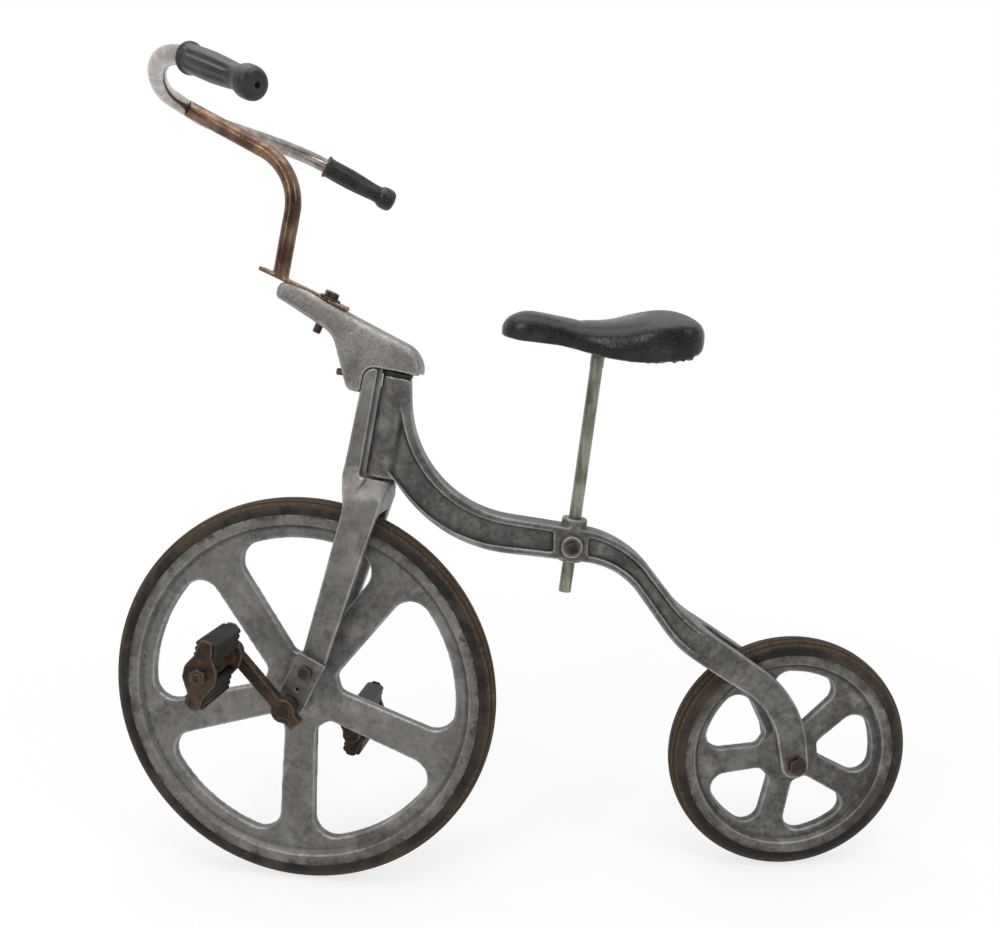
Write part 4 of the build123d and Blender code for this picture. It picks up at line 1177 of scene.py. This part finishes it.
# %% [markdown]
# ## Floor and light
# A white sweep and large soft lamps, as in the photograph. Near the wheels the floor is a plain pale
# surface, so it keeps their shadows, and further out it turns into a surface that the camera, mirrors and
# glass see as pure white. No other ray sees that, so the white background adds no light to the bicycle.
# The wall is only on the far side: metal also mirrors the room where the viewer stands, which is duller,
# and that gives tubes and castings their shading.

# %% Floor
FLOOR_LEVEL = CAD_BOX[0][2]
FLOOR_REACH = 9.0
FLOOR_DULL = (0.9, 0.9, 0.895, 1)
FLOOR_PALE = (0.94, 0.94, 0.935, 1)
WHITE = (1, 1, 1, 1)
# The shadow is plainest near its middle and gone beyond its end, in metres; the lift is how far it is paled
SHADOW_MIDDLE = (0.08, 0, FLOOR_LEVEL)
SHADOW_FROM = 0.45
SHADOW_TO = 1.15
SHADOW_LIFT = 0.72


def seen_directly(tree):
    """1 for rays from the camera, from mirrors and through glass, 0 for those that only bring light."""
    path = tree.nodes.new("ShaderNodeLightPath")
    names = ("Is Camera Ray", "Is Glossy Ray", "Is Transmission Ray")
    seen, mirrored, through = [Wire(tree, path.outputs[name]) for name in names]
    return seen.maths("MAXIMUM", seen.maths("MAXIMUM", seen, mirrored), through)


def pale_floor():
    """Floor that keeps the shadow near the wheels and is seen as white further out."""
    mesh = bpy.data.meshes.new("floor")
    with edited(mesh) as edit:
        bmesh.ops.create_grid(edit, x_segments=1, y_segments=1, size=FLOOR_REACH)
        bmesh.ops.translate(edit, verts=edit.verts, vec=(0, 0, FLOOR_LEVEL))
    floor = new_piece("floor", mesh)
    material, place = start_finish("pale_floor")
    base = tint(noise(place, 3, 3), FLOOR_DULL, FLOOR_PALE)
    matt = place.node("ShaderNodeBsdfPrincipled", {}, {"Base Color": base, "Roughness": 0.7})
    white = place.node("ShaderNodeEmission", {}, {"Color": WHITE, "Strength": 1.0})
    offset = place.node("ShaderNodeVectorMath", {"operation": "SUBTRACT"}, {0: place, 1: SHADOW_MIDDLE})
    away = offset.node("ShaderNodeVectorMath", {"operation": "LENGTH"}, {0: offset}, output=1)
    paled = rise(away, SHADOW_FROM, SHADOW_TO) * (1 - SHADOW_LIFT) + SHADOW_LIFT
    share = paled * seen_directly(place.tree)
    mixed = share.node("ShaderNodeMixShader", {}, {0: share, 1: matt, 2: white})
    mixed.node("ShaderNodeOutputMaterial", {}, {"Surface": mixed})
    mesh.materials.append(material)


pale_floor()
print("floor at", round(FLOOR_LEVEL, 3))

# %% White room
# Strength of the world as light, and of the room that metal mirrors on the viewer's side
WORLD_FILL = 0.55
ROOM_STRENGTH = 0.18
# Where the room begins and is full towards the viewer, and where it begins to end and ends upwards
ROOM_ACROSS = (-0.25, 0.55)
ROOM_UP = (0.35, 0.9)


def white_world(fill, room):
    """World that lights evenly and is seen as white; metal mirrors a duller room on the viewer's side."""
    world = bpy.data.worlds.new("white_room")
    bpy.context.scene.world = world
    world.use_nodes = True
    tree = world.node_tree
    tree.nodes.clear()
    way = Wire(tree, tree.nodes.new("ShaderNodeTexCoord").outputs["Generated"])
    path = tree.nodes.new("ShaderNodeLightPath")
    mirrored = Wire(tree, path.outputs["Is Glossy Ray"])
    parts = way.node("ShaderNodeSeparateXYZ", {}, {"Vector": way})
    left, up = parts.output(1), parts.output(2)
    dull = rise(left, *ROOM_ACROSS) * (1 - rise(up, *ROOM_UP)) * mirrored
    strength = (seen_directly(tree) * (1 - fill) + fill) * (1 - dull * (1 - room))
    shine = strength.node("ShaderNodeBackground", {}, {"Color": WHITE, "Strength": strength})
    strength.node("ShaderNodeOutputWorld", {}, {"Surface": shine})


white_world(WORLD_FILL, ROOM_STRENGTH)
bpy.context.scene.view_settings.view_transform = "Standard"
print("world:", bpy.context.scene.world.name)

# %% Lamps
# Columns: name, place, target, width and height in metres, power in watts
LAMPS = [
    ("overhead", (0.3, 0.3, 1.9), (0.1, 0, -0.2), (2.6, 1.8), 34),
    ("front_left", (1.6, 1.7, 1.0), (0.1, 0, -0.2), (0.7, 0.9), 16),
    ("rear_left", (-1.5, 1.6, 0.9), (0, 0, -0.2), (0.6, 0.9), 9),
]


def soft_lamp(name, place, target, size, power):
    data = bpy.data.lights.new(name, "AREA")
    data.shape = "RECTANGLE"
    data.size, data.size_y = size
    data.energy = power
    lamp = bpy.data.objects.new(name, data)
    lamp.location = place
    lamp.rotation_euler = (Vector(target) - Vector(place)).to_track_quat("-Z", "Y").to_euler()
    bpy.context.collection.objects.link(lamp)


for lamp in LAMPS:
    soft_lamp(*lamp)
print("lamps:", [row[0] for row in LAMPS])
